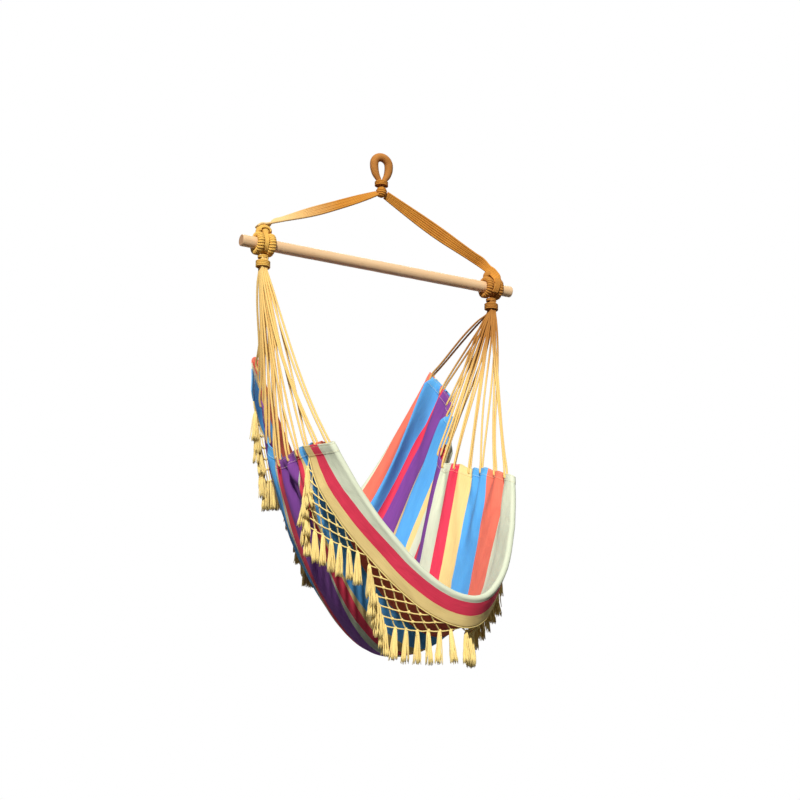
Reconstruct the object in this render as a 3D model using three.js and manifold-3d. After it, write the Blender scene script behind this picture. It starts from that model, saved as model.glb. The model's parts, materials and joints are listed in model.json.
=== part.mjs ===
// Hammock chair: a striped sling seat on a wooden spreader bar, hung from a rope eye.
// Millimetres, +Z up, X along the bar, -Y to the front. The origin is the inner crown of the eye, where a hook bears.
import * as THREE from 'three';
import { mergeGeometries, mergeVertices } from 'three/addons/utils/BufferGeometryUtils.js';
import Module from 'manifold-3d';

const wasm = await Module();
wasm.setup();

// Hanging eye and its neck
const eyeOpeningWidth = 26;
const eyeOpeningHeight = 64;
const eyeStrandDiameter = 29;
const neckStrandDiameter = 17;
const neckLength = 20;
const eyeWindingDiameter = 5;
const eyeWindingTurns = 2;
const throatDiameter = 38;
const runningGap = 0.3;
const windingGap = 0.6;

// Bridle
const bridleStrandDiameter = 7.5;
const bridleStrands = 3;
const bridleRingDiameter = 64;
const bridleRingWidth = 14;
const bridleRingSides = 24;
const bridleCrown = 66;
const crownNarrowShare = 0.35;

// Spreader bar and the collars on it
const barDrop = 376;
const barLength = 1000;
const barDiameter = 38;
const barEdgeRadius = 3;
const barOverhang = 77.5;
const collarSpan = barLength - 2 * barOverhang;
const collarDiameter = 76;
const collarRingWidth = 25;
const collarRibs = 22;
const collarRibDepth = 3;
const barFit = 0.4;
const ringSideGap = 0.5;

// Sling necks, their bindings and the strings
const neckBlockDepth = 10;
const stringDiameter = 4.8;
const stringSpacing = 5.3;
const stringsPerSide = 12;
const neckColumns = 6;
const bindingCordDiameter = 5;
const bindingTurns = 4;
const bindingDrop = 8;

// Hems and cloth
const clothThickness = 4;
const hemThickness = 4;
const hemDepth = 35;
const eyeletDrop = 20;
const stringClearance = 0.6;
const hemSpan = 670;
const hemBackReach = 235;
const hemFrontReach = 300;
const hemBackDrop = 268;
const hemFrontDrop = 710;
const seatBackReach = 330;
const seatFrontReach = 485;
const seatBackDrop = 785;
const seatBottomDrop = 1285;
const foldRadius = 9;
const foldWidthAtHem = 130;
const foldWidthAtMiddle = 80;
const gatherHeight = 14;
const clothWidth = 1350;
const hemGap = 0.6;

// The hang is not quite even: the left hem reaches further forward, and the right hem stands higher at the back
const frontReachSkew = 48;
const backReachSkew = 16;
const backLevelSkew = 30;
const seatShift = 45;
const sideBulge = 380;

// The sling hangs with its weight straight under the bar
const balanceRight = 3.6;
const balanceBack = 17.8;

// Fringe
const scallopsPerEdge = 4;
const cellsPerScallop = 6;
const netDepth = 150;
const threadWidth = 5;
const netThickness = 4;
const netDropShare = 0.1;
const tasselLength = 100;
const tasselHeadWidth = 8;
const tasselEndWidth = 15;

const ropeGold = new THREE.MeshStandardMaterial({ color: 0xd9b25f, roughness: 0.85, metalness: 0 });
const ropeAmber = new THREE.MeshStandardMaterial({ color: 0xc08a3e, roughness: 0.85, metalness: 0 });
const beech = new THREE.MeshStandardMaterial({ color: 0xd9b48a, roughness: 0.55, metalness: 0 });
const fabric = new THREE.MeshStandardMaterial({ color: 0x5fa3e0, roughness: 0.9, metalness: 0 });
const hemFabric = new THREE.MeshStandardMaterial({ color: 0xcfd9bd, roughness: 0.9, metalness: 0 });

const group = new THREE.Group();

function vec(x, y, z) {
  return new THREE.Vector3(x, y, z);
}

function along(start, direction, distance) {
  return start.clone().addScaledVector(direction, distance);
}

function toward(from, to) {
  return to.clone().sub(from).normalize();
}

function add(name, geometry, material, parent = group) {
  const mesh = new THREE.Mesh(geometry, material);
  mesh.name = name;
  parent.add(mesh);
  return mesh;
}

// Merged positions only: what a boolean and a closed body need
function welded(geometry) {
  const bare = geometry.index ? geometry.clone() : geometry;
  for (const name of Object.keys(bare.attributes)) {
    if (name !== 'position') bare.deleteAttribute(name);
  }
  return mergeVertices(bare, 1e-4);
}

function toSolid(geometry) {
  const merged = welded(geometry);
  return new wasm.Manifold(new wasm.Mesh({
    numProp: 3,
    vertProperties: new Float32Array(merged.attributes.position.array),
    triVerts: new Uint32Array(merged.index.array),
  }));
}

function toGeometry(solid) {
  const mesh = solid.getMesh();
  const geometry = new THREE.BufferGeometry();
  geometry.setAttribute('position', new THREE.BufferAttribute(mesh.vertProperties, 3));
  geometry.setIndex(new THREE.BufferAttribute(mesh.triVerts, 1));
  return geometry;
}

// A path with one station for each given point, so that a tube has a ring just there
class StationPath extends THREE.Curve {
  constructor(points) {
    super();
    this.points = points;
  }

  getSpacedPoints() {
    return this.points;
  }

  getPoint(t) {
    const place = t * (this.points.length - 1);
    const low = Math.min(Math.floor(place), this.points.length - 2);
    return this.points[low].clone().lerp(this.points[low + 1], place - low);
  }

  getTangentAt(u, target = new THREE.Vector3()) {
    const k = Math.round(u * (this.points.length - 1));
    const before = this.points[Math.max(k - 1, 0)];
    const here = this.points[k];
    const after = this.points[Math.min(k + 1, this.points.length - 1)];
    const into = k > 0 ? toward(before, here) : toward(here, after);
    const out = k < this.points.length - 1 ? toward(here, after) : into;
    return target.copy(into).add(out).normalize();
  }
}

function roundSection(diameter, sides) {
  const section = new THREE.Shape();
  for (let k = 0; k < sides; k++) {
    const angle = (k / sides) * 2 * Math.PI;
    const x = Math.cos(angle) * diameter / 2;
    const y = Math.sin(angle) * diameter / 2;
    if (k === 0) section.moveTo(x, y);
    else section.lineTo(x, y);
  }
  section.closePath();
  return section;
}

function tube(points, diameter, sides) {
  return welded(new THREE.ExtrudeGeometry(roundSection(diameter, sides), {
    steps: points.length - 1,
    bevelEnabled: false,
    extrudePath: new StationPath(points),
  }));
}

// A closed skin from rings of points: each ring joins the next, and the first and last are capped
function loft(rings) {
  const count = rings[0].length;
  const positions = [];
  for (const ring of rings) {
    for (const p of ring) positions.push(p.x, p.y, p.z);
  }
  const index = [];
  for (let r = 0; r < rings.length - 1; r++) {
    for (let k = 0; k < count; k++) {
      const a = r * count + k;
      const b = r * count + (k + 1) % count;
      index.push(a, b, a + count);
      index.push(b, b + count, a + count);
    }
  }
  const last = (rings.length - 1) * count;
  for (let k = 1; k < count - 1; k++) {
    index.push(0, k + 1, k);
    index.push(last, last + k, last + k + 1);
  }
  const geometry = new THREE.BufferGeometry();
  geometry.setAttribute('position', new THREE.Float32BufferAttribute(positions, 3));
  geometry.setIndex(index);
  return geometry;
}

// Least distance between turns of a winding: stations less than half a turn apart along it are left out
function leastGap(name, points, diameter, stationsPerTurn) {
  let least = Infinity;
  for (let i = 0; i < points.length; i++) {
    for (let j = i + Math.ceil(stationsPerTurn / 2); j < points.length; j++) {
      least = Math.min(least, points[i].distanceTo(points[j]) - diameter);
    }
  }
  console.log(`${name}: least gap to itself ${least.toFixed(2)} mm`);
}

// One unbroken winding round a vertical axis, whose ends run straight for one cord diameter
function winding(name, centre, boreRadius, cordDiameter, turns, material, parent) {
  const stations = 14;
  const radius = (boreRadius + cordDiameter / 2) / Math.cos(Math.PI / stations);
  const pitch = cordDiameter + windingGap;
  const points = [];
  for (let k = 0; k <= turns * stations; k++) {
    const angle = (k / stations) * 2 * Math.PI;
    const drop = pitch * (k / stations - turns / 2);
    points.push(vec(centre.x + radius * Math.cos(angle), centre.y + radius * Math.sin(angle), centre.z - drop));
  }
  points.unshift(vec(centre.x + radius, centre.y - cordDiameter, points[0].z));
  points.push(vec(centre.x + radius, centre.y + cordDiameter, points[points.length - 1].z));
  leastGap(name, points, cordDiameter, stations);
  add(name, tube(points, cordDiameter, 5), material, parent);
}

// Hanging eye: a hairpin of thick rope, its crown round the hook and its two legs side by side in the neck
const neckTop = -eyeOpeningHeight - eyeStrandDiameter / 4;
const neckBottom = neckTop - neckLength;
function hangingEye() {
  const loopHalf = (eyeOpeningWidth + eyeStrandDiameter) / 2;
  const legHalf = neckStrandDiameter / 2 + runningGap;
  const crown = eyeStrandDiameter / 2;
  const shoulder = loopHalf - crown;
  const legShares = [1, 1, 0.9, 0.68, 0.42];
  const widthShares = [0, 0, 0.2, 0.68, 0.95];
  const halfRoute = [];
  for (let k = 0; k < legShares.length; k++) {
    const x = legHalf + (loopHalf - legHalf) * widthShares[k];
    const z = k === 0 ? neckBottom : neckTop * legShares[k];
    halfRoute.push({ x, z, share: widthShares[k] });
  }
  const arcSteps = 10;
  const route = halfRoute.map((p) => ({ x: -p.x, z: p.z, share: p.share }));
  for (let k = 0; k <= arcSteps; k++) {
    const angle = Math.PI - (k / arcSteps) * Math.PI;
    route.push({ x: loopHalf * Math.cos(angle), z: -shoulder + loopHalf * Math.sin(angle), share: 1 });
  }
  for (const p of halfRoute.slice().reverse()) route.push(p);
  const path = new StationPath(route.map((p) => vec(p.x, 0, p.z)));
  const sides = 10;
  const rings = route.map((p, k) => {
    const tangent = path.getTangentAt(k / (route.length - 1));
    const across = vec(tangent.z, 0, -tangent.x);
    const radius = (neckStrandDiameter + (eyeStrandDiameter - neckStrandDiameter) * p.share) / 2;
    const ring = [];
    for (let s = 0; s < sides; s++) {
      const angle = (s / sides) * 2 * Math.PI;
      const out = along(path.points[k], across, radius * Math.cos(angle));
      ring.push(out.add(vec(0, radius * Math.sin(angle), 0)));
    }
    return ring;
  });
  add('hanging_eye', loft(rings), ropeAmber);
}
hangingEye();

const neckRadius = neckStrandDiameter + runningGap;
winding('eye_seizing', vec(0, 0, (neckTop + neckBottom) / 2), neckRadius + runningGap, eyeWindingDiameter,
  eyeWindingTurns, ropeAmber, group);

// Throat: a round knot, the ball in which the bridle tilts both ways
const throatRadius = throatDiameter / 2;
const pivot = vec(0, 0, neckBottom - runningGap - throatRadius);
const throat = add('bridle_throat', welded(new THREE.SphereGeometry(throatRadius, 14, 8)), ropeAmber);
throat.position.copy(pivot);

// A ring on the bar: a disc with ribs round it, bored to fit the bar, its flat faces square to the bar
function barRing(name, x, diameter, width, ribs, ribDepth, material) {
  const outline = new THREE.Shape();
  for (let k = 0; k < ribs * 2; k++) {
    const angle = (k / (ribs * 2)) * 2 * Math.PI;
    const radius = diameter / 2 - (k % 2) * ribDepth;
    if (k === 0) outline.moveTo(radius * Math.cos(angle), radius * Math.sin(angle));
    else outline.lineTo(radius * Math.cos(angle), radius * Math.sin(angle));
  }
  outline.closePath();
  const bore = new THREE.Path();
  bore.absarc(0, 0, barDiameter / 2 + barFit, 0, 2 * Math.PI, true);
  outline.holes.push(bore);
  const ring = new THREE.ExtrudeGeometry(outline, { depth: width, bevelEnabled: false, curveSegments: 10 });
  ring.translate(0, 0, -width / 2);
  ring.rotateY(Math.PI / 2);
  ring.translate(x, 0, -barDrop);
  add(name, welded(ring), material);
}

// Bridle: a flat bundle of strands on each side, from the throat to the crown of a smooth ring round the bar
const bridleTwist = Math.PI / 3;
function bridleRing(name, x) {
  const radius = bridleRingDiameter / 2;
  const outline = new THREE.Shape();
  for (let k = 0; k < bridleRingSides; k++) {
    const angle = (k / bridleRingSides) * 2 * Math.PI;
    const rise = Math.max(Math.sin(angle), 0) ** 2;
    const across = Math.cos(angle) * radius * (1 - crownNarrowShare * rise);
    const up = Math.sin(angle) * (radius + (bridleCrown - radius) * rise);
    if (k === 0) outline.moveTo(-up, across);
    else outline.lineTo(-up, across);
  }
  outline.closePath();
  const bore = new THREE.Path();
  bore.absarc(0, 0, barDiameter / 2 + barFit, 0, 2 * Math.PI, true);
  outline.holes.push(bore);
  const ring = new THREE.ExtrudeGeometry(outline, { depth: bridleRingWidth, bevelEnabled: false, curveSegments: 10 });
  ring.translate(0, 0, -bridleRingWidth / 2);
  ring.rotateY(Math.PI / 2);
  ring.translate(x, 0, -barDrop);
  add(name, welded(ring), ropeAmber);
}

function bridle(side, word) {
  const x = side * collarSpan / 2;
  bridleRing(`bridle_ring_${word}`, x);
  const pitch = bridleStrandDiameter + windingGap;
  const strandRadius = bridleStrandDiameter / 2;
  const crest = vec(x - side * bridleStrandDiameter, 0, -barDrop + bridleCrown + bridleStrandDiameter);
  const line = toward(pivot, crest);
  const lift = vec(-line.z * side, 0, line.x * side);
  const stations = 8;
  for (let k = 0; k < bridleStrands; k++) {
    const offset = (k - (bridleStrands - 1) / 2) * pitch;
    const reach = Math.max(Math.abs(offset) - strandRadius, 0);
    const setOut = Math.sqrt((throatRadius + runningGap) ** 2 - reach ** 2);
    const length = pivot.distanceTo(crest);
    const points = [];
    for (let i = 0; i <= stations; i++) {
      const t = i / stations;
      const turn = bridleTwist * Math.sin(Math.PI * t);
      const sag = strandRadius * Math.sin(Math.PI * t);
      const point = along(pivot, line, setOut + (length - setOut) * t);
      point.y += offset * Math.cos(turn);
      point.addScaledVector(lift, offset * Math.sin(turn) - sag);
      points.push(point);
    }
    const seat = vec(x, offset, -barDrop + bridleCrown + runningGap);
    points.push(along(seat, vec(0, 0, 1), strandRadius));
    points.push(seat);
    add(`bridle_strand_${word}_${k + 1}`, tube(points, bridleStrandDiameter, 6), ropeAmber);
  }
}
bridle(-1, 'left');
bridle(1, 'right');

// Spreader bar: turned from profile, with eased ends
function spreaderBar() {
  const half = barLength / 2;
  const radius = barDiameter / 2;
  const profile = [
    new THREE.Vector2(0, -half),
    new THREE.Vector2(radius - barEdgeRadius, -half),
    new THREE.Vector2(radius, -half + barEdgeRadius),
    new THREE.Vector2(radius, half - barEdgeRadius),
    new THREE.Vector2(radius - barEdgeRadius, half),
    new THREE.Vector2(0, half),
  ];
  const bar = new THREE.LatheGeometry(profile, 24);
  bar.rotateZ(-Math.PI / 2);
  bar.translate(0, 0, -barDrop);
  add('spreader_bar', welded(bar), beech);
}
spreaderBar();

// Collars: two ribbed rings of knotted cord on each side of the bridle's ring, gripping the bar
const collarOffset = bridleRingWidth / 2 + ringSideGap + collarRingWidth / 2;
const neckBlockTop = -barDrop - collarDiameter / 2 - runningGap;
const neckBlockBottom = neckBlockTop - neckBlockDepth;
const neckRows = 4;
const bundleRadius = Math.hypot((neckColumns - 1) / 2, (neckRows - 1) / 2) * stringSpacing + stringDiameter / 2;
const bindingRadius = bundleRadius + stringClearance;
function collar(side, word) {
  const x = side * collarSpan / 2;
  for (const [place, shift] of [['outer', side], ['inner', -side]]) {
    const at = x + shift * collarOffset;
    barRing(`collar_${word}_${place}`, at, collarDiameter, collarRingWidth, collarRibs, collarRibDepth, ropeGold);
  }
  const block = new THREE.CylinderGeometry(bundleRadius, bundleRadius, neckBlockDepth, 20);
  block.rotateX(Math.PI / 2);
  block.translate(x, 0, (neckBlockTop + neckBlockBottom) / 2);
  add(`sling_neck_${word}`, welded(block), ropeGold);
  const bindingHeight = bindingTurns * (bindingCordDiameter + windingGap);
  const centre = vec(x, 0, neckBlockBottom - bindingDrop - bindingHeight / 2);
  winding(`neck_binding_${word}`, centre, bindingRadius, bindingCordDiameter, bindingTurns, ropeGold, group);
}
collar(-1, 'left');
collar(1, 'right');

// Cloth: rows from hem to hem, laid out along the length between the back fold and the front fold.
// Each table holds one share for each of these rows, chosen to follow the hanging shape.
const lengthShares = [0, 0.16, 0.32, 0.5, 0.68, 0.86, 1];
const hemWidthShares = {
  left: [1, 1.03, 1.045, 1.03, 1.03, 1, 1],
  right: [1, 1.03, 1.0, 0.745, 0.91, 1.01, 1],
};
const hemReachShares = {
  left: [0, 0.104, 0.21, 0.351, 0.563, 0.77, 1],
  right: [0, 0.18, 0.33, 0.42, 0.54, 0.777, 1],
};
const hemFallShares = {
  left: [0, 0.3, 0.62, 0.92, 0.93, 0.93, 1],
  right: [0, 0.2, 0.44, 0.76, 0.84, 0.913, 1],
};
const middleReachShares = [0, 0.03, 0.15, 0.36, 0.58, 0.81, 1];
const middleFallShares = [0, 0.35, 0.68, 0.93, 1, 0.91, 0.74];
const middleShiftShares = [0, 0, 0, 0.1, 0.4, 0.8, 1];
const bulgeShares = [0, 0.7, 1, 0.8, 0.3, 0, 0];
const curveFullnessShares = [1.3, 1.45, 1.6, 1.9, 2.1, 1.95, 1.95];

// A smooth value from a table, by a cubic through its neighbours
function fromTable(table, place) {
  let k = 0;
  while (k < lengthShares.length - 2 && place > lengthShares[k + 1]) k += 1;
  const a = lengthShares[k];
  const b = lengthShares[k + 1];
  const t = (place - a) / (b - a);
  const slope = (i) => {
    const lo = Math.max(i - 1, 0);
    const hi = Math.min(i + 1, table.length - 1);
    return (table[hi] - table[lo]) / (lengthShares[hi] - lengthShares[lo]);
  };
  const h00 = 2 * t ** 3 - 3 * t ** 2 + 1;
  const h10 = t ** 3 - 2 * t ** 2 + t;
  const h01 = -2 * t ** 3 + 3 * t ** 2;
  const h11 = t ** 3 - t ** 2;
  return h00 * table[k] + h10 * (b - a) * slope(k) + h01 * table[k + 1] + h11 * (b - a) * slope(k + 1);
}

// The curve of one row, from the left hem through the middle to the right hem
function rowCurve(place) {
  const middleX = fromTable(middleShiftShares, place) * seatShift;
  const middleY = seatBackReach - fromTable(middleReachShares, place) * (seatBackReach + seatFrontReach);
  const middleZ = -seatBackDrop - fromTable(middleFallShares, place) * (seatBottomDrop - seatBackDrop);
  const power = fromTable(curveFullnessShares, place);
  const points = [];
  const halfSteps = 16;
  for (let k = -halfSteps; k <= halfSteps; k++) {
    const side = Math.sign(k);
    const word = side < 0 ? 'left' : 'right';
    const hemX = fromTable(hemWidthShares[word], place) * hemSpan / 2;
    const reachShare = fromTable(hemReachShares[word], place);
    const fallShare = fromTable(hemFallShares[word], place);
    const share = (Math.abs(k) / halfSteps) ** 0.75;
    const backY = hemBackReach + side * backReachSkew;
    const frontY = -hemFrontReach + side * frontReachSkew;
    const hemY = backY + (frontY - backY) * reachShare;
    const backZ = -hemBackDrop + side * backLevelSkew;
    const hemZ = backZ + (-hemFrontDrop - backZ) * fallShare;
    const depth = 1 - share ** power;
    const bulge = fromTable(bulgeShares, place) * sideBulge * share ** 3 * (1 - share);
    const x = side * hemX * share + middleX * (1 - share);
    const y = hemY + (middleY - hemY) * depth + bulge;
    const z = hemZ + (middleZ - hemZ) * depth;
    points.push(vec(x + balanceRight, y + balanceBack, z - barDrop));
  }
  return new THREE.CatmullRomCurve3(points, false, 'centripetal');
}

const clothColumns = scallopsPerEdge * cellsPerScallop;
const bodyRows = 11;
const foldRows = 4;

// Columns across a row: the hem's outer edge and inner edge, then the sheet's own edge and even steps between
function rowPoints(curve) {
  const length = curve.getLength();
  const stops = [0, hemDepth];
  const sheet = hemDepth + hemGap;
  for (let k = 0; k <= clothColumns; k++) stops.push(sheet + (length - 2 * sheet) * (k / clothColumns));
  stops.push(length - hemDepth);
  stops.push(length);
  return stops.map((s) => curve.getPointAt(Math.min(s / length, 1)));
}

// How far a column lies from the middle of its row, from 0 to 1 at the hem
function edgeShare(k) {
  if (k === 0 || k === clothColumns + 4) return 1;
  const column = Math.min(Math.max(k - 2, 0), clothColumns);
  return Math.abs(2 * column / clothColumns - 1) * (1 - 2 * hemDepth / clothWidth);
}

// Outward normals of the grid. A hem's inner edge and the sheet's edge beside it share theirs.
function outwardNormals(rows) {
  const normals = rows.map((row, r) => row.map((p, k) => {
    const left = row[Math.max(k - 1, 0)];
    const right = row[Math.min(k + 1, row.length - 1)];
    const back = rows[Math.max(r - 1, 0)][k];
    const front = rows[Math.min(r + 1, rows.length - 1)][k];
    return right.clone().sub(left).cross(front.clone().sub(back)).normalize();
  }));
  for (const line of normals) {
    line[2] = line[1];
    line[line.length - 3] = line[line.length - 2];
  }
  return normals;
}

// Gathers: the hem's pull draws the sheet into soft ridges, which fade towards the middle
function gathered(rows, normals) {
  return rows.map((row, r) => row.map((p, k) => {
    const edge = edgeShare(k);
    const ends = Math.sin(Math.PI * r / (rows.length - 1));
    const wave = Math.cos(Math.PI * r) * ends * edge ** 3 * gatherHeight / 2;
    return along(p, normals[r][k], wave);
  }));
}

// A fold outwards: half a turn round the edge row, then a flap that leans back along the wall and drops
function foldedFlap(edgeRow, beforeRow, normals, outShare) {
  const turn = [];
  for (const angle of [Math.PI / 2, Math.PI]) {
    turn.push(edgeRow.map((p, k) => {
      const ahead = toward(beforeRow[k], p);
      const lift = along(p, ahead, foldRadius * Math.sin(angle));
      return along(lift, normals[k], foldRadius * (1 - Math.cos(angle)));
    }));
  }
  const flap = [];
  for (const share of [0.5, 1]) {
    flap.push(edgeRow.map((p, k) => {
      const { direction, width } = flapLean(edgeRow, beforeRow, normals, k, outShare);
      return along(turn[1][k], direction, width * share);
    }));
  }
  return [...turn, ...flap];
}

const flapDropShare = 0.9;
const flapOutShares = { back: 0.08, front: 0.22, middle: 0.1 };
function flapLean(edgeRow, beforeRow, normals, k, outShare) {
  const edge = edgeShare(k);
  const drop = flapDropShare * (1 - edge) ** 3;
  const out = flapOutShares.middle + (outShare - flapOutShares.middle) * edge;
  const direction = toward(edgeRow[k], beforeRow[k]);
  direction.addScaledVector(normals[k], out);
  direction.z -= drop;
  const width = foldWidthAtMiddle + (foldWidthAtHem - foldWidthAtMiddle) * edge ** 2;
  return { direction: direction.normalize(), width };
}

function clothRows() {
  const body = [];
  for (let r = 0; r <= bodyRows; r++) body.push(rowPoints(rowCurve(r / bodyRows)));
  const normals = outwardNormals(body);
  const shaped = gathered(body, normals);
  const last = shaped.length - 1;
  const front = foldedFlap(shaped[last], shaped[last - 1], normals[last], flapOutShares.front);
  const back = foldedFlap(shaped[0], shaped[1], normals[0], flapOutShares.back);
  return [...back.reverse(), ...shaped, ...front];
}

// A sheet with a wall: the grid's points moved half the thickness out and in, and joined round the border. Its two
// side faces are split along the same diagonal, so that a hem and the sheet beside it stay parallel where they twist.
function sheet(rows, normals, thickness) {
  const rings = rows.map((row, r) => {
    const outer = row.map((p, k) => along(p, normals[r][k], thickness / 2));
    const inner = row.map((p, k) => along(p, normals[r][k], -thickness / 2));
    return [...outer, ...inner.reverse()];
  });
  const count = rings[0].length;
  const columns = rows[0].length;
  const positions = [];
  for (const ring of rings) {
    for (const p of ring) positions.push(p.x, p.y, p.z);
  }
  const index = [];
  for (let r = 0; r < rings.length - 1; r++) {
    for (let k = 0; k < count; k++) {
      const a = r * count + k;
      const b = r * count + (k + 1) % count;
      const firstEdge = k === count - 1;
      index.push(a, b, firstEdge ? b + count : a + count);
      index.push(firstEdge ? a : b, b + count, a + count);
    }
  }
  const last = (rings.length - 1) * count;
  for (let k = 0; k < columns - 1; k++) {
    const mate = count - 1 - k;
    index.push(k, mate, k + 1);
    index.push(k + 1, mate, mate - 1);
    index.push(last + k, last + k + 1, last + mate);
    index.push(last + k + 1, last + mate - 1, last + mate);
  }
  const geometry = new THREE.BufferGeometry();
  geometry.setAttribute('position', new THREE.Float32BufferAttribute(positions, 3));
  geometry.setIndex(index);
  return geometry;
}

const rows = clothRows();
const faceNormals = outwardNormals(rows);
const clothGrid = rows.map((row) => row.slice(2, -2));
add('seat_cloth', sheet(clothGrid, faceNormals.map((line) => line.slice(2, -2)), clothThickness), fabric);

// Strings and hems: each string is one cord, up from the neck's block down the outer face, through an eyelet and back
function hemAndStrings(side, word) {
  const cut = (line) => (side < 0 ? line.slice(0, 2) : line.slice(-2));
  const strip = rows.map(cut);
  const bend = faceNormals.map(cut);
  let hem = toSolid(sheet(strip, bend, hemThickness));
  const firstBody = foldRows;
  const lastBody = rows.length - foldRows - 1;
  const faceOffset = hemThickness / 2 + stringClearance + stringDiameter / 2;
  const eyelets = [];
  for (let i = 0; i < stringsPerSide; i++) {
    const place = firstBody + (lastBody - firstBody) * ((i + 0.5) / stringsPerSide);
    const low = Math.floor(place);
    const at = (index) => strip[low][index].clone().lerp(strip[low + 1][index], place - low);
    const edge = side < 0 ? at(0) : at(1);
    const inner = side < 0 ? at(1) : at(0);
    const down = toward(edge, inner);
    const out = bend[low][0].clone().lerp(bend[low + 1][0], place - low).normalize();
    eyelets.push({ spot: along(edge, down, eyeletDrop), down, out });
  }
  for (let i = 0; i < stringsPerSide; i++) {
    const { spot: eyelet, down, out } = eyelets[i];
    const mate = eyelets[i + 1 - 2 * (i % 2)].spot;
    const nearer = Math.abs(eyelet.x) < Math.abs(mate.x) ? 1 : 0;
    const holeSides = 6;
    const holeDiameter = (stringDiameter + 2 * stringClearance) / Math.cos(Math.PI / holeSides);
    const reach = hemThickness;
    const punch = tube([along(eyelet, out, -reach), along(eyelet, out, reach)], holeDiameter, holeSides);
    hem = hem.subtract(toSolid(punch));
    const column = Math.floor(i / 2) - (neckColumns - 1) / 2;
    const legs = [1, -1].map((face) => {
      const row = 2 * nearer + (face > 0 ? 0 : 1);
      const x = side * (collarSpan / 2 + ((neckRows - 1) / 2 - row) * stringSpacing);
      const y = -column * stringSpacing;
      const head = vec(x, y, neckBlockBottom - runningGap);
      const bindingHeight = bindingTurns * (bindingCordDiameter + windingGap);
      const release = vec(x, y, neckBlockBottom - 2 * bindingDrop - bindingHeight);
      const turnPoint = along(eyelet, out, face * faceOffset);
      const lip = along(turnPoint, down, -eyeletDrop - stringDiameter * (1 + 2 * (i % 2)));
      return [head, release, lip, turnPoint];
    });
    const points = [...legs[0], ...legs[1].reverse()];
    add(`string_${word}_${String(i + 1).padStart(2, '0')}`, tube(points, stringDiameter, 6), ropeGold);
  }
  add(`hem_${word}`, toGeometry(hem), hemFabric);
}
hemAndStrings(-1, 'left');
hemAndStrings(1, 'right');

// Fringe: a diamond net in pointed scallops hangs from each folded edge, with a tassel at each knot of its points
function edgeFrame(edgeRow, flapRow, leans) {
  const flaps = edgeRow.map((p, k) => toward(flapRow[k], p));
  return (place) => {
    const low = Math.max(Math.min(Math.floor(place), edgeRow.length - 2), 0);
    const t = place - low;
    const flap = flaps[low].clone().lerp(flaps[low + 1], t).normalize();
    const lean = leans[low].clone().lerp(leans[low + 1], t).normalize();
    const across = toward(edgeRow[low], edgeRow[low + 1]);
    const point = along(edgeRow[low].clone().lerp(edgeRow[low + 1], t), flap, hemGap);
    return { point, lean, flapFace: across.clone().cross(flap).normalize(), face: across.cross(lean).normalize() };
  };
}

// The flat net, in cells: x runs along the edge and y from the edge to the point of the scallop. Each cell is a
// diamond, or half of one at the edge, whose threads lie between its corners and the smaller corners of its hole.
function netCells(cellWidth) {
  const cells = cellsPerScallop;
  const half = threadWidth / Math.SQRT2 / cellWidth;
  const loops = [];
  for (let i = 0; i < cells; i++) {
    for (let j = i; j < cells; j++) {
      const left = i + (i === 0 ? 2 * half : half);
      const right = i + 1 - half;
      const low = j + half;
      const high = j + 1 - (j === cells - 1 ? 2 * half : half);
      const corner = (p, q) => [(p + q) / 2, (q - p) / 2];
      if (i === j) {
        const outer = [[i, 0], [i + 1, 0], corner(i, j + 1)];
        loops.push({ outer, inner: [[left + half, half], [high - half, half], corner(left, high)] });
      } else {
        const outer = [corner(i + 1, j), corner(i + 1, j + 1), corner(i, j + 1), corner(i, j)];
        loops.push({ outer, inner: [corner(right, low), corner(right, high), corner(left, high), corner(left, low)] });
      }
    }
  }
  return loops;
}

// A plate made of rings of faces between outer and inner loops, its two sides placed by spot(x, y, z)
function plate(loops, thickness, spot) {
  const points = [];
  const known = new Map();
  const indexOf = ([x, y]) => {
    const key = `${x.toFixed(5)},${y.toFixed(5)}`;
    if (!known.has(key)) known.set(key, points.push([x, y]) - 1);
    return known.get(key);
  };
  const faces = [];
  for (const { outer, inner } of loops) {
    for (let e = 0; e < outer.length; e++) {
      const f = (e + 1) % outer.length;
      const [a, b, c, d] = [outer[e], outer[f], inner[f], inner[e]].map(indexOf);
      faces.push([a, b, c], [a, c, d]);
    }
  }
  const edges = new Set();
  for (const [a, b, c] of faces) {
    for (const [from, to] of [[a, b], [b, c], [c, a]]) edges.add(`${from},${to}`);
  }
  const count = points.length;
  const index = [];
  for (const [a, b, c] of faces) index.push(a, b, c, a + count, c + count, b + count);
  for (const edge of edges) {
    const [a, b] = edge.split(',').map(Number);
    if (!edges.has(`${b},${a}`)) index.push(a, a + count, b + count, a, b + count, b);
  }
  const positions = [];
  for (const side of [thickness / 2, -thickness / 2]) {
    for (const [x, y] of points) positions.push(...spot(x, y, side).toArray());
  }
  const geometry = new THREE.BufferGeometry();
  geometry.setAttribute('position', new THREE.Float32BufferAttribute(positions, 3));
  geometry.setIndex(index);
  return geometry;
}

function tassel(top) {
  const sides = 4;
  const levels = [
    { drop: 0, width: threadWidth / 2 },
    { drop: tasselHeadWidth, width: tasselHeadWidth },
    { drop: tasselLength, width: tasselEndWidth },
  ];
  const rings = levels.map(({ drop, width }) => {
    const ring = [];
    for (let s = 0; s < sides; s++) {
      const angle = -((s + 0.5) / sides) * 2 * Math.PI;
      ring.push(vec(top.x + width / 2 * Math.cos(angle), top.y + width / 2 * Math.sin(angle), top.z - drop));
    }
    return ring;
  });
  return loft(rings);
}

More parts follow.
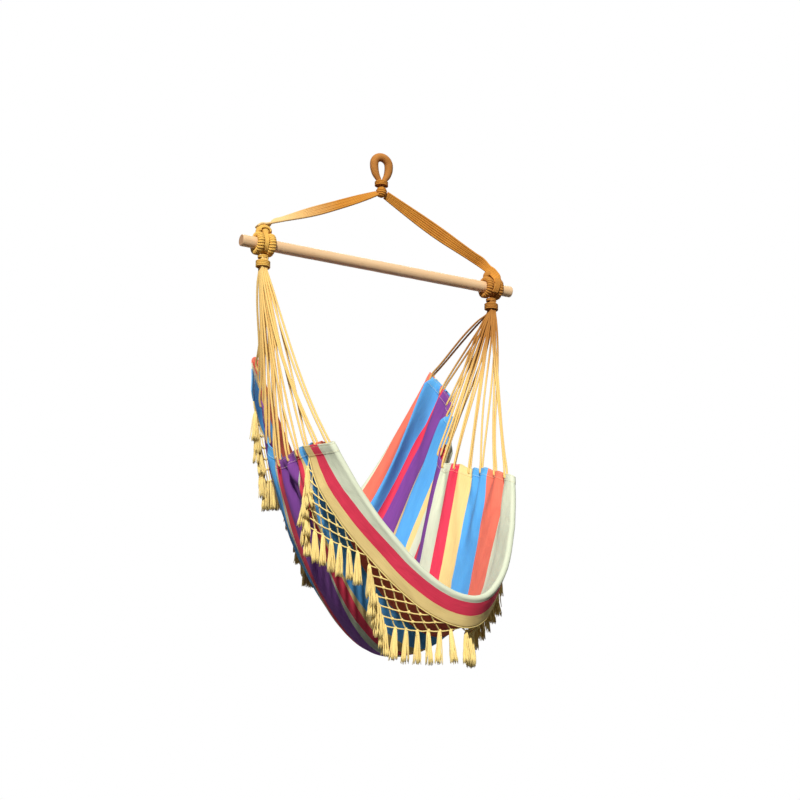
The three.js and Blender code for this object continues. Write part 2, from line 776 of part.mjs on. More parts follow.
// The net leans along the wall that it hangs against: from one of the wall's rows towards the next
function fringe(word, edgeRow, flapRow, wallRow, nextRow) {
  const leans = edgeRow.map((p, k) => {
    const lean = toward(wallRow[k], nextRow[k]);
    lean.z -= netDropShare;
    return lean.normalize();
  });
  const frameAt = edgeFrame(edgeRow, flapRow, leans);
  const cellWidth = edgeRow.reduce((sum, p, k) => sum + (k ? p.distanceTo(edgeRow[k - 1]) : 0), 0) / clothColumns;
  const depthPerCell = netDepth / (cellsPerScallop / 2);
  for (let n = 0; n < scallopsPerEdge; n++) {
    const spot = (x, y, z) => {
      const { point, lean, flapFace, face } = frameAt(n * cellsPerScallop + x);
      return along(point, lean, y * depthPerCell).addScaledVector(y > 0 ? face : flapFace, z);
    };
    let net = toSolid(plate(netCells(cellWidth), netThickness, spot));
    for (let k = 1; k <= cellsPerScallop; k++) {
      net = net.add(toSolid(tassel(spot(k / 2, k / 2, 0))));
      if (k < cellsPerScallop) {
        net = net.add(toSolid(tassel(spot((cellsPerScallop + k) / 2, (cellsPerScallop - k) / 2, 0))));
      }
    }
    add(`${word}_fringe_${n + 1}`, toGeometry(net), ropeGold);
  }
}
const lastRow = clothGrid.length - 1;
const frontWall = lastRow - foldRows - 1;
const backWall = foldRows + 1;
fringe('front', clothGrid[lastRow], clothGrid[lastRow - 1], clothGrid[frontWall], clothGrid[frontWall - 1]);
fringe('back', clothGrid[0], clothGrid[1], clothGrid[backWall], clothGrid[backWall + 1]);

export default group;
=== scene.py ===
# Hammock chair: a striped cloth sling with knotted fringe, strung from a wooden bar under a rope eye.
# Metres, +Z up, X along the bar, -Y to the front. The origin is the inner crown of the eye, on its hook.
import json
import math

import bpy
import numpy as np
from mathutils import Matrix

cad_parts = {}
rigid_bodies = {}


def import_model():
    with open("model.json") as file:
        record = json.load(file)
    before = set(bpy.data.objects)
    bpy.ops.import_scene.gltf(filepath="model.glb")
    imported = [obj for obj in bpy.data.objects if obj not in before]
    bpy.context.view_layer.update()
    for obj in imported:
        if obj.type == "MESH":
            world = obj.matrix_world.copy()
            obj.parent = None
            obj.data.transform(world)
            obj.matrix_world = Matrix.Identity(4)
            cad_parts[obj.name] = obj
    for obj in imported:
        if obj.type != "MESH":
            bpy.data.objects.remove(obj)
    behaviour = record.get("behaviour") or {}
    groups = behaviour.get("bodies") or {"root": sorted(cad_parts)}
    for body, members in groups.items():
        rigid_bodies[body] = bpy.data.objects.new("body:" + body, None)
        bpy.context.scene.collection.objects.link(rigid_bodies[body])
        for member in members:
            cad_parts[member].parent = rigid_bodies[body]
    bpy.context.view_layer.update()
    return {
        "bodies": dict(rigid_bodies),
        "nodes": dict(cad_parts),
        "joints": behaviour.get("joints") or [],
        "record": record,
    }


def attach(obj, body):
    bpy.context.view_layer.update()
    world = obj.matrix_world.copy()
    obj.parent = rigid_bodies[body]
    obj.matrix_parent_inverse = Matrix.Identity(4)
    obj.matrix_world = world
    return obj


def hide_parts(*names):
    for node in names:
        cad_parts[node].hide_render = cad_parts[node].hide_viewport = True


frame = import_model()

scene = bpy.context.scene
scene.view_settings.view_transform = "Standard"

# Camera at the photograph's viewpoint: below the bar, to the left of the front, looking up
cameraSettings = {
    "place": (-2.46488, -4.63111, -2.36131), "turnRight": 28.7, "tiltUp": 16.27, "lens": 76.7, "sensor": 36,
}
lens = bpy.data.cameras.new("camera")
lens.lens = cameraSettings["lens"]
lens.sensor_width = cameraSettings["sensor"]
camera = bpy.data.objects.new("camera", lens)
camera.location = cameraSettings["place"]
tilt = math.radians(90 + cameraSettings["tiltUp"])
camera.rotation_euler = (tilt, 0, -math.radians(cameraSettings["turnRight"]))
scene.collection.objects.link(camera)
scene.camera = camera


# Shapes as arrays. A part of a mesh is a dictionary: its points, faces, corners' UVs and finish.
def unit(v):
    return v / np.maximum(np.linalg.norm(v, axis=-1, keepdims=True), 1e-12)


def stacked(*values):
    # Coordinates side by side in a last axis, each spread over the shape of the others
    return np.stack(np.broadcast_arrays(*values), -1)


def circle(count):
    return np.arange(count) / count * 2 * np.pi


def eased(t):
    # From 0 to 1, flat at both ends
    t = np.clip(t, 0, 1)
    return t**2 * (3 - 2 * t)


def cubic(t, start, end, startSlope, endSlope):
    # From one value to the next while t goes from 0 to 1, with a given slope at each
    value = (2 * t**3 - 3 * t**2 + 1) * start + (t**3 - 2 * t**2 + t) * startSlope
    return value + (3 * t**2 - 2 * t**3) * end + (t**3 - t**2) * endSlope


def runs(curves):
    # How far along its curve each point lies
    gaps = np.linalg.norm(np.diff(curves, axis=1), axis=2)
    return np.concatenate([np.zeros((len(curves), 1)), np.cumsum(gaps, axis=1)], 1)


def gridFaces(rows, columns, closeRows=False, closeColumns=False):
    # Quads between neighbouring rows and columns, and each corner's row and column, which count on past
    # a seam
    r, c = np.indices((rows if closeRows else rows - 1, columns if closeColumns else columns - 1))
    corners = [(r, c), (r, c + 1), (r + 1, c + 1), (r + 1, c)]
    faces = np.stack([(i % rows) * columns + j % columns for i, j in corners], -1).reshape(-1, 4)
    numbers = np.stack([np.stack([i, j], -1) for i, j in corners], 2).reshape(-1, 4, 2)
    return faces, numbers


def surfacePart(points, uvs, finish=0, closeRows=False, closeColumns=False, flip=False):
    # A grid of points as a surface. Its UVs are given for the same grid.
    rows, columns = points.shape[:2]
    faces, numbers = gridFaces(rows, columns, closeRows, closeColumns)
    if flip:
        faces, numbers = faces[:, ::-1], numbers[:, ::-1]
    cornerUvs = uvs[numbers[..., 0] % rows, numbers[..., 1] % columns]
    return {"points": points.reshape(-1, 3), "faces": [faces], "uvs": [cornerUvs], "finish": finish}


def tubes(paths, refs, radius, sides=10, lobes=3, lay=0.016, depth=0.16, closed=False, flat=1.0, finish=0):
    # Tubes along many paths at once. At each station a ring stands square to the path; its radius swells
    # and falls in rounded lobes, the plies of a cord, which turn once round the path in each lay.
    paths = np.asarray(paths, float)
    count, stations = paths.shape[:2]
    run = runs(paths)
    if closed:
        along = unit(np.roll(paths, -1, 1) - np.roll(paths, 1, 1))
        whole = run[:, -1:] + np.linalg.norm(paths[:, -1] - paths[:, 0], axis=1, keepdims=True)
        lay = whole / np.maximum(np.round(whole / lay), 1)
    else:
        along = unit(np.gradient(paths, axis=1))
    cross = unit(np.cross(along, np.broadcast_to(refs, paths.shape)))
    ref = np.cross(cross, along)
    angle = circle(sides)
    ply = np.abs(np.cos(lobes * (angle / 2 - np.pi * run[..., None] / np.asarray(lay)[..., None])))
    size = np.broadcast_to(radius, run.shape)[..., None] * (1 - depth * (1 - ply))
    spread = np.broadcast_to(flat, run.shape)[..., None, None]
    around = np.cos(angle)[:, None] * ref[:, :, None] * spread + np.sin(angle)[:, None] * cross[:, :, None]
    points = paths[:, :, None] + size[..., None] * around
    faces, numbers = gridFaces(stations, sides, closeRows=closed, closeColumns=True)
    base = (np.arange(count) * stations * sides)[:, None, None]
    lengths = np.concatenate([run, run[:, -1:]], 1)[:, numbers[..., 0]]
    uvs = stacked(lengths, numbers[..., 1] / sides)
    part = {"points": points.reshape(-1, 3), "finish": finish}
    part["faces"] = [(faces[None] + base).reshape(-1, 4)]
    part["uvs"] = [uvs.reshape(-1, 4, 2)]
    if not closed:
        ring = np.arange(sides) + base[:, 0]
        for cap, at in ((ring[:, ::-1], run[:, :1]), (ring + (stations - 1) * sides, run[:, -1:])):
            part["faces"].append(cap)
            part["uvs"].append(stacked(at, 0 * cap + 0.5))
    return part


def ball(centres, radii, rows=8, columns=12, finish=0):
    # Closed egg shapes: rings between two poles, which stand a little open and are capped
    poleAngle, texture = 0.04, 0.02
    polar, turn = np.linspace(poleAngle, np.pi - poleAngle, rows)[:, None], circle(columns)[None]
    shape = stacked(np.sin(polar) * np.cos(turn), np.sin(polar) * np.sin(turn), -np.cos(polar))
    centres, radii = np.asarray(centres, float).reshape(-1, 3), np.asarray(radii, float)
    points = centres[:, None, None] + shape * np.broadcast_to(radii, centres.shape)[:, None, None]
    faces, numbers = gridFaces(rows, columns, closeColumns=True)
    base = (np.arange(len(centres)) * rows * columns)[:, None, None]
    uvs = np.tile(numbers[..., ::-1] / (columns, rows) * texture, (len(centres), 1, 1))
    ring = np.arange(columns) + base[:, 0]
    caps = [ring[:, ::-1], ring + (rows - 1) * columns]
    part = {"points": points.reshape(-1, 3), "finish": finish}
    part["faces"] = [(faces[None] + base).reshape(-1, 4), *caps]
    part["uvs"] = [uvs, *[np.zeros(cap.shape + (2,)) for cap in caps]]
    return part


def makePiece(name, node, body, looks, parts):
    # One mesh from its parts, which replaces its solid and rides on its body
    corners, sizes, uvs, indices, base = [], [], [], [], 0
    for part in parts:
        for faces, cornerUvs in zip(part["faces"], part["uvs"]):
            corners.append(faces.ravel() + base)
            sizes.append(np.full(len(faces), faces.shape[1]))
            uvs.append(cornerUvs.reshape(-1, 2))
            indices.append(np.full(len(faces), part["finish"]))
        base += len(part["points"])
    points = np.concatenate([part["points"] for part in parts])
    corners, sizes = np.concatenate(corners), np.concatenate(sizes)
    starts = np.concatenate([[0], np.cumsum(sizes)[:-1]])
    mesh = bpy.data.meshes.new(name)
    mesh.vertices.add(len(points))
    mesh.vertices.foreach_set("co", points.astype(np.float32).ravel())
    mesh.loops.add(len(corners))
    mesh.loops.foreach_set("vertex_index", corners.astype(np.int32))
    mesh.polygons.add(len(sizes))
    mesh.polygons.foreach_set("loop_start", starts.astype(np.int32))
    mesh.polygons.foreach_set("use_smooth", np.ones(len(sizes), bool))
    mesh.polygons.foreach_set("material_index", np.concatenate(indices).astype(np.int32))
    layer = mesh.uv_layers.new(name="UVMap")
    layer.data.foreach_set("uv", np.concatenate(uvs).astype(np.float32).ravel())
    mesh.update(calc_edges=True)
    mesh.validate()
    for look in looks:
        mesh.materials.append(finishes[look])
    piece = bpy.data.objects.new(name, mesh)
    scene.collection.objects.link(piece)
    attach(piece, body)
    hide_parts(node)
    return piece


def throughPoints(points, steps):
    # Smooth curves through rows of points: a cubic between each two, whose slopes weigh the neighbours by
    # the square roots of their distances
    first = 2 * points[:, :1] - points[:, 1:2]
    last = 2 * points[:, -1:] - points[:, -2:-1]
    p = np.concatenate([first, points, last], 1)
    gap = np.sqrt(np.linalg.norm(np.diff(p, axis=1), axis=2))[..., None]
    before, here, after = gap[:, :-2], gap[:, 1:-1], gap[:, 2:]
    a, b, c, d = p[:, :-3], p[:, 1:-2], p[:, 2:-1], p[:, 3:]
    slopeB = ((b - a) / before - (c - a) / (before + here) + (c - b) / here) * here
    slopeC = ((c - b) / here - (d - b) / (here + after) + (d - c) / after) * here
    t = (np.arange(steps) / steps)[:, None]
    inner = cubic(t, b[:, :, None], c[:, :, None], slopeB[:, :, None], slopeC[:, :, None])
    return np.concatenate([inner.reshape(len(points), -1, 3), points[:, -1:]], 1)


def atLengths(curves, stops):
    # Points at given lengths along each curve. Shifting each curve's lengths apart, further than any
    # curve is long, lets one interpolation serve all.
    shift = np.arange(len(curves))[:, None] * 100.0
    known, wanted = (runs(curves) + shift).ravel(), (stops + shift).ravel()
    axes = [np.interp(wanted, known, curves[..., axis].ravel()) for axis in range(3)]
    return np.stack(axes, -1).reshape(stops.shape + (3,))


def curveLengths(curves):
    return np.linalg.norm(np.diff(curves, axis=1), axis=2).sum(1)


def evenly(curves, step):
    # The same curves with even stations, as many on each as the longest needs
    lengths = curveLengths(curves)
    count = int(math.ceil(lengths.max() / step)) + 1
    return atLengths(curves, lengths[:, None] * np.linspace(0, 1, count))


# Finishes
def srgb(colour):
    # A screen colour as the linear colour that a shader takes
    c = np.array(colour) / 255
    linear = np.where(c <= 0.04045, c / 12.92, ((c + 0.055) / 1.055) ** 2.4)
    return (*linear.tolist(), 1.0)


def setInputs(tree, node, inputs):
    # An input is linked where it is given another node's output, and otherwise holds the value itself
    for key, value in inputs.items():
        if isinstance(value, bpy.types.NodeSocket):
            tree.links.new(value, node.inputs[key])
        else:
            node.inputs[key].default_value = value


def addNode(tree, kind, inputs=None, **settings):
    node = tree.nodes.new(kind)
    for key, value in settings.items():
        setattr(node, key, value)
    setInputs(tree, node, inputs or {})
    return node


def maths(tree, operation, a, b=0.0, c=0.0, clamp=False):
    inputs = {0: a, 1: b, 2: c}
    return addNode(tree, "ShaderNodeMath", inputs, operation=operation, use_clamp=clamp).outputs[0]


def splitAxes(tree, vector):
    return addNode(tree, "ShaderNodeSeparateXYZ", {0: vector}).outputs


def stretch(tree, place, factors):
    return addNode(tree, "ShaderNodeVectorMath", {0: place, 1: factors}, operation="MULTIPLY").outputs[0]


def noise(tree, place, scale, detail, roughness=0.5, distortion=0.0):
    inputs = {"Vector": place, "Scale": scale, "Detail": detail}
    inputs.update({"Roughness": roughness, "Distortion": distortion})
    return addNode(tree, "ShaderNodeTexNoise", inputs).outputs[0]


def mixColours(tree, share, a, b, blend="MIX"):
    node = addNode(tree, "ShaderNodeMix", {0: share, 6: a, 7: b}, data_type="RGBA", blend_type=blend)
    return node.outputs[2]


def bump(tree, height, distance, strength):
    inputs = {"Strength": strength, "Distance": distance, "Height": height}
    return addNode(tree, "ShaderNodeBump", inputs).outputs["Normal"]


def newGroup(name, takes, gives):
    tree = bpy.data.node_groups.new(name, "ShaderNodeTree")
    for labels, way in ((takes, "INPUT"), (gives, "OUTPUT")):
        for label, kind in labels.items():
            tree.interface.new_socket(name=label, in_out=way, socket_type="NodeSocket" + kind)
    return tree, tree.nodes.new("NodeGroupInput").outputs


def useGroup(tree, group, inputs):
    return addNode(tree, "ShaderNodeGroup", inputs, node_tree=group).outputs


def newFinish(name, look):
    finish = bpy.data.materials.new(name)
    finish.use_nodes = True
    tree = finish.node_tree
    shader = tree.nodes["Principled BSDF"]
    setInputs(tree, shader, {"Roughness": look["roughness"], "Specular IOR Level": look["gloss"]})
    setInputs(tree, shader, {"Sheen Weight": look["sheen"], "Sheen Roughness": 0.5})
    return finish, tree, shader


def makeYarnGroup():
    # Plies wind round the cord: their phase is the place round it less the run over the lay. Crown is 1
    # along the middle of a ply and 0 in the groove; fibres are noise drawn out along the ply.
    takes = {"Run": "Vector", "Lay": "Float", "Plies": "Float"}
    tree, given = newGroup("twistedYarn", takes, {"Crown": "Float", "Fibres": "Float"})
    fibresRound, fibresAlong = 9.0, 90.0
    run, around = splitAxes(tree, given["Run"])[:2]
    turn = maths(tree, "SUBTRACT", around, maths(tree, "DIVIDE", run, given["Lay"]))
    phase = maths(tree, "MULTIPLY", turn, given["Plies"])
    crown = maths(tree, "ABSOLUTE", maths(tree, "COSINE", maths(tree, "MULTIPLY", phase, math.pi)))
    drawn = {0: maths(tree, "MULTIPLY", phase, fibresRound), 1: maths(tree, "MULTIPLY", run, fibresAlong)}
    fibres = noise(tree, addNode(tree, "ShaderNodeCombineXYZ", drawn).outputs[0], 1.0, 3.0, 0.6)
    addNode(tree, "NodeGroupOutput", {"Crown": crown, "Fibres": fibres})
    return tree


def makeWeaveGroup():
    # A plain weave: the product of two sines at the threads' pitch. Slubs are noise drawn out along the
    # warp.
    gives = {"Threads": "Float", "Slubs": "Float", "Creases": "Float"}
    tree, given = newGroup("plainWeave", {"Place": "Vector", "Pitch": "Float"}, gives)
    slubStretch, creaseStretch = (16.0, 420.0, 1.0), (13.0, 30.0, 1.0)
    waves = []
    for run in splitAxes(tree, given["Place"])[:2]:
        around = maths(tree, "MULTIPLY", maths(tree, "DIVIDE", run, given["Pitch"]), math.pi)
        waves.append(maths(tree, "SINE", around))
    threads = maths(tree, "MULTIPLY_ADD", maths(tree, "MULTIPLY", *waves), 0.5, 0.5)
    slubs = noise(tree, stretch(tree, given["Place"], slubStretch), 1.0, 3.0, 0.65)
    creases = noise(tree, stretch(tree, given["Place"], creaseStretch), 1.0, 4.0, distortion=0.6)
    addNode(tree, "NodeGroupOutput", {"Threads": threads, "Slubs": slubs, "Creases": creases})
    return tree


yarnGroup = makeYarnGroup()
weaveGroup = makeWeaveGroup()

cordLook = {
    "lay": 0.016, "plies": 3.0, "relief": 0.0008, "reliefStrength": 0.6, "roughness": 0.88, "sheen": 0.04,
    "gloss": 0.12, "grooveFall": 0.45, "dyeScale": 26.0,
}


def cordFinish(name, look, **changes):
    # Cotton cord: painted light along the middle of each ply and painted shade in the grooves between plies,
    # with uneven dye along its length
    look = {**cordLook, **look, **changes}
    finish, tree, shader = newFinish(name, look)
    place = addNode(tree, "ShaderNodeTexCoord").outputs
    yarn = useGroup(tree, yarnGroup, {"Run": place["UV"], "Lay": look["lay"], "Plies": look["plies"]})
    dye = noise(tree, place["Object"], look["dyeScale"], 3.0)
    # Painted shade: the colour falls to the groove colour where the plies meet, and rises to the full colour
    # on their crowns
    lit = maths(tree, "POWER", yarn["Crown"], look["grooveFall"])
    shade = maths(tree, "MULTIPLY", lit, maths(tree, "ADD", yarn["Fibres"], 0.5), clamp=True)
    base = mixColours(tree, shade, srgb(look["groove"]), srgb(look["colour"]))
    tint = mixColours(tree, maths(tree, "MULTIPLY", dye, look["uneven"]), base, srgb(look["dark"]))
    if "tone" in look:
        # Painted light and shade along one axis: a paler colour mixed in as a painted highlight, or a darker
        # one multiplied in as painted shade, from nothing at its first place to its most at its last
        tone = look["tone"]
        limits = {"From Min": tone["first"], "From Max": tone["last"], "To Max": tone["most"]}
        limits["Value"] = splitAxes(tree, place["Object"])[tone["axis"]]
        share = addNode(tree, "ShaderNodeMapRange", limits).outputs[0]
        tint = mixColours(tree, share, tint, srgb(tone["colour"]), tone["blend"])
    height = maths(tree, "MULTIPLY", maths(tree, "ADD", yarn["Crown"], yarn["Fibres"]), 0.5)
    normal = bump(tree, height, look["relief"], look["reliefStrength"])
    setInputs(tree, shader, {"Base Color": tint, "Normal": normal})
    return finish


ropeLook = {
    "colour": (222, 156, 62), "groove": (160, 94, 28), "dark": (178, 112, 44), "uneven": 0.7, "lay": 0.026,
    "relief": 0.001,
}
collarLook = {"colour": (248, 206, 108), "groove": (186, 128, 50), "dark": (214, 156, 72), "uneven": 0.5}
# The right collars, bridle crown and neck are a darker copy of the left's cotton: painted shade
paintedShadeCollar = {"colour": (208, 146, 66), "groove": (140, 88, 34), "dark": (172, 110, 48)}
stringLook = {"colour": (254, 222, 142), "groove": (210, 156, 78), "dark": (228, 176, 98), "uneven": 0.5}
fringeLook = {"colour": (255, 236, 160), "groove": (222, 184, 98), "dark": (240, 204, 124), "uneven": 0.4}
threadLook = {
    "colour": (240, 226, 180), "groove": (190, 168, 120), "dark": (216, 196, 150), "uneven": 0.4,
    "lay": 0.004, "relief": 0.0003,
}
# Paler towards the left collar: a painted highlight on the left bridle leg
paintedHighlight = {"axis": 0, "first": -0.16, "last": -0.36, "colour": (252, 226, 164), "blend": "MIX", "most": 0.62}
# Darker towards the top of the right strings, where they gather under the neck: painted shade
paintedShadeTop = {
    "axis": 2, "first": -0.72, "last": -0.56, "colour": (190, 156, 128), "blend": "MULTIPLY", "most": 1.0,
}
servedCord = {"colour": (204, 142, 76), "groove": (150, 96, 44), "lay": 0.0038, "plies": 1.0}
finishes = {
    "rope": cordFinish("ropeCotton", ropeLook),
    "ropeLeft": cordFinish("paintedHighlightRope", ropeLook, tone=paintedHighlight),
    # The right legs' rope is a lighter copy of the rope: painted light, against the shade the lamp leaves on
    # them
    "ropeRight": cordFinish("paintedLightRope", ropeLook, colour=(240, 170, 72), groove=(178, 106, 36)),
    "served": cordFinish("servedRope", ropeLook, **servedCord),
    "collarLeft": cordFinish("collarCottonLeft", collarLook),
    "collarRight": cordFinish("shadedCollarCotton", collarLook, **paintedShadeCollar),
    "stringLeft": cordFinish("stringCotton", stringLook),
    "stringRight": cordFinish("paintedShadeString", stringLook, tone=paintedShadeTop),
    "fringe": cordFinish("fringeCotton", fringeLook),
    "thread": cordFinish("threadCotton", threadLook),
}

# The stripes run from hem to hem. They are listed from the front edge to the back edge, in millimetres.
stripes = [
    ("yellow", 35), ("red", 40), ("green", 130), ("coral", 75), ("blue", 90), ("yellow", 55), ("red", 40),
    ("green", 60), ("purple", 90), ("red", 45), ("green", 60), ("yellow", 30), ("blue", 95), ("yellow", 33),
    ("purple", 125), ("red", 38), ("blue", 60), ("coral", 80), ("green", 25), ("blue", 95),
]
stripeColours = {
    "yellow": (248, 214, 140), "red": (234, 60, 88), "green": (220, 228, 200), "coral": (244, 116, 96),
    "blue": (86, 168, 242), "purple": (124, 68, 152),
}
stripeEdges = np.cumsum([0, *(width for colour, width in stripes)]) / 1000
clothLength = float(stripeEdges[-1])
clothLook = {
    "pitch": 0.0012, "ragged": 0.0016, "slubShade": 0.34, "slubDark": (0.03, 0.03, 0.05, 1),
    "worn": (1, 0.97, 0.9, 1), "relief": 0.0035, "reliefStrength": 0.7, "threadHeight": 0.1,
    "slubHeight": 0.16, "roughness": 0.72, "slubRoughness": 0.2, "sheen": 0.04, "gloss": 0.12,
}


def stripeRamp(tree, share):
    # A ramp of plain steps, one for each stripe, over the share of the cloth's length
    ramp = addNode(tree, "ShaderNodeValToRGB", {0: share})
    ramp.color_ramp.interpolation = "CONSTANT"
    steps = ramp.color_ramp.elements
    steps.remove(steps[1])
    for number, (colour, width) in enumerate(stripes):
        start = stripeEdges[number] / clothLength
        step = steps.new(start) if number else steps[0]
        step.position = start
        step.color = srgb(stripeColours[colour])
    return ramp.outputs[0]


def clothFinish(name, wear):
    # Woven cotton: stripes by the length coordinate, warp slubs, and faint creases in colour and relief
    look = clothLook
    finish, tree, shader = newFinish(name, look)
    place = addNode(tree, "ShaderNodeTexCoord").outputs["UV"]
    weave = useGroup(tree, weaveGroup, {"Place": place, "Pitch": look["pitch"]})
    along = splitAxes(tree, place)[1]
    ragged = maths(tree, "MULTIPLY", maths(tree, "SUBTRACT", weave["Slubs"], 0.5), look["ragged"])
    striped = stripeRamp(tree, maths(tree, "DIVIDE", maths(tree, "ADD", along, ragged), clothLength))
    slubShade = maths(tree, "MULTIPLY", weave["Slubs"], look["slubShade"])
    slubbed = mixColours(tree, slubShade, striped, look["slubDark"], "MULTIPLY")
    wornShare = maths(tree, "MULTIPLY", weave["Creases"], wear)
    worn = mixColours(tree, wornShare, slubbed, look["worn"], "SOFT_LIGHT")
    rough = maths(tree, "MULTIPLY_ADD", weave["Slubs"], look["slubRoughness"], look["roughness"])
    slubHeight = maths(tree, "MULTIPLY", weave["Slubs"], look["slubHeight"])
    fine = maths(tree, "MULTIPLY_ADD", weave["Threads"], look["threadHeight"], slubHeight)
    normal = bump(tree, maths(tree, "ADD", fine, weave["Creases"]), look["relief"], look["reliefStrength"])
    setInputs(tree, shader, {"Base Color": worn, "Roughness": rough, "Normal": normal})
    return finish


finishes["cloth"] = clothFinish("stripedCotton", 0.5)
finishes["hem"] = clothFinish("hemCotton", 0.7)

sideLook = {
    "pale": (240, 210, 168), "warm": (214, 168, 118), "fleck": (176, 124, 78), "stretch": (3.0, 90.0, 90.0),
    "fleckStretch": (70.0, 700.0, 700.0), "fleckLevel": 0.58, "fleckSharp": 4.0, "fleckShade": 0.55,
    "relief": 0.0004, "reliefStrength": 0.5, "roughness": 0.5, "sheen": 0.0, "gloss": 0.5,
}
endLook = dict(sideLook, pale=(206, 164, 122), warm=(158, 114, 78), roughness=0.7)
endLook.update(stretch=(20.0, 160.0, 160.0), fleckStretch=(400.0, 900.0, 900.0))


def beechFinish(name, look):
    # Beech: long faint growth bands, and short darker flecks along the bar, which stand a little low
    finish, tree, shader = newFinish(name, look)
    place = addNode(tree, "ShaderNodeTexCoord").outputs["Object"]
    bands = noise(tree, stretch(tree, place, look["stretch"]), 1.0, 5.0, distortion=0.4)
    flecks = noise(tree, stretch(tree, place, look["fleckStretch"]), 1.0, 2.0)
    over = maths(tree, "SUBTRACT", flecks, look["fleckLevel"])
    spots = maths(tree, "MULTIPLY", over, look["fleckSharp"], clamp=True)
    base = mixColours(tree, bands, srgb(look["pale"]), srgb(look["warm"]))
    flecked = mixColours(tree, maths(tree, "MULTIPLY", spots, look["fleckShade"]), base, srgb(look["fleck"]))
    height = maths(tree, "MULTIPLY_ADD", spots, -0.5, bands)
    normal = bump(tree, height, look["relief"], look["reliefStrength"])
    setInputs(tree, shader, {"Base Color": flecked, "Normal": normal})
    return finish


finishes["beech"] = beechFinish("beechSide", sideLook)
finishes["beechEnd"] = beechFinish("beechEnd", endLook)
print("finishes made")

# The floor, under the chair as it hangs on a porch. The camera sees it pale, but it sends little light up,
# and the world's light grows from the horizon to a height.
stageSettings = {
    "floorDrop": 2.51, "floorHalf": 9.0, "pale": (0.93, 0.93, 0.92, 1), "dim": (0.07, 0.068, 0.064, 1),
    "fill": (0.94, 0.97, 1.0, 1), "lowFill": 0.09, "highFill": 0.50, "fullHeight": 0.9,
}
lamps = {
    "keyLight": {"toward": (-0.47, -0.70, 0.42), "spread": 0.09, "energy": 3.9, "colour": (1, 0.98, 0.94)},
    "backLight": {"toward": (0.50, 0.62, 0.60), "spread": 0.5, "energy": 0.8, "colour": (0.95, 0.97, 1)},
}


def whiteToCamera(tree, shown, other):
    path = addNode(tree, "ShaderNodeLightPath").outputs
    seen = maths(tree, "MAXIMUM", path["Is Camera Ray"], path["Is Glossy Ray"])
    seen = maths(tree, "MAXIMUM", seen, path["Is Transmission Ray"])
    return addNode(tree, "ShaderNodeMixShader", {0: seen, 1: other, 2: shown}).outputs[0]


def makeFloor():
    h, z = stageSettings["floorHalf"], -stageSettings["floorDrop"]
    mesh = bpy.data.meshes.new("floor")
    mesh.from_pydata([(-h, -h, z), (h, -h, z), (h, h, z), (-h, h, z)], [], [(0, 1, 2, 3)])
    floor = bpy.data.objects.new("floor", mesh)
    scene.collection.objects.link(floor)
    paint = bpy.data.materials.new("floorPaint")
    paint.use_nodes = True
    tree = paint.node_tree
    pale = addNode(tree, "ShaderNodeBsdfDiffuse", {"Color": stageSettings["pale"]})
    dim = addNode(tree, "ShaderNodeBsdfDiffuse", {"Color": stageSettings["dim"]})
    surface = whiteToCamera(tree, pale.outputs[0], dim.outputs[0])
    setInputs(tree, tree.nodes["Material Output"], {"Surface": surface})
    mesh.materials.append(paint)


def makeWorld():
    world = bpy.data.worlds.new("studio")
    world.use_nodes = True
    scene.world = world
    tree = world.node_tree
    backdrop = tree.nodes["Background"]
    setInputs(tree, backdrop, {"Color": (1, 1, 1, 1), "Strength": 1.0})
    up = splitAxes(tree, addNode(tree, "ShaderNodeTexCoord").outputs["Generated"])[2]
    limits = {"Value": up, "From Max": stageSettings["fullHeight"]}
    limits.update({"To Min": stageSettings["lowFill"], "To Max": stageSettings["highFill"]})
    glow = addNode(tree, "ShaderNodeMapRange", limits).outputs[0]
    fill = addNode(tree, "ShaderNodeBackground", {"Color": stageSettings["fill"], "Strength": glow})
    surface = whiteToCamera(tree, backdrop.outputs[0], fill.outputs[0])
    setInputs(tree, tree.nodes["World Output"], {"Surface": surface})


def addSun(name, look):
    lamp = bpy.data.lights.new(name, "SUN")
    lamp.angle, lamp.energy, lamp.color = look["spread"], look["energy"], look["colour"]
    holder = bpy.data.objects.new(name, lamp)
    scene.collection.objects.link(holder)
    x, y, z = look["toward"]
    holder.rotation_euler = (math.atan2(math.hypot(x, y), z), 0, math.atan2(y, x) + math.pi / 2)


makeFloor()
makeWorld()
for name, look in lamps.items():
    addSun(name, look)
print("stage and lamps made")

# Rope eye: a hairpin of served rope, thick round the hook and slim in the neck
eye = {
    "openingWidth": 0.026, "openingHeight": 0.064, "strand": 0.029, "neckStrand": 0.017, "neckLength": 0.020,
    "legShares": [1, 1, 0.9, 0.68, 0.42], "widthShares": [0, 0, 0.2, 0.68, 0.95], "step": 0.0006,
    "relief": 0.075, "seizingCord": 0.005, "seizingTurns": 3.0, "seizingGap": 0.0002, "gap": 0.0003,
}
throat = {"diameter": 0.038, "cord": 0.0052, "turns": 6.5, "pole": 14, "full": 1.08, "coreInset": 0.0022}
woundFull = 1.04  # wound cords are drawn a little full, so that their turns close up
neckTop = -eye["openingHeight"] - eye["strand"] / 4
neckBottom = neckTop - eye["neckLength"]
throatRadius = throat["diameter"] / 2
pivot = np.array([0, 0, neckBottom - eye["gap"] - throatRadius])


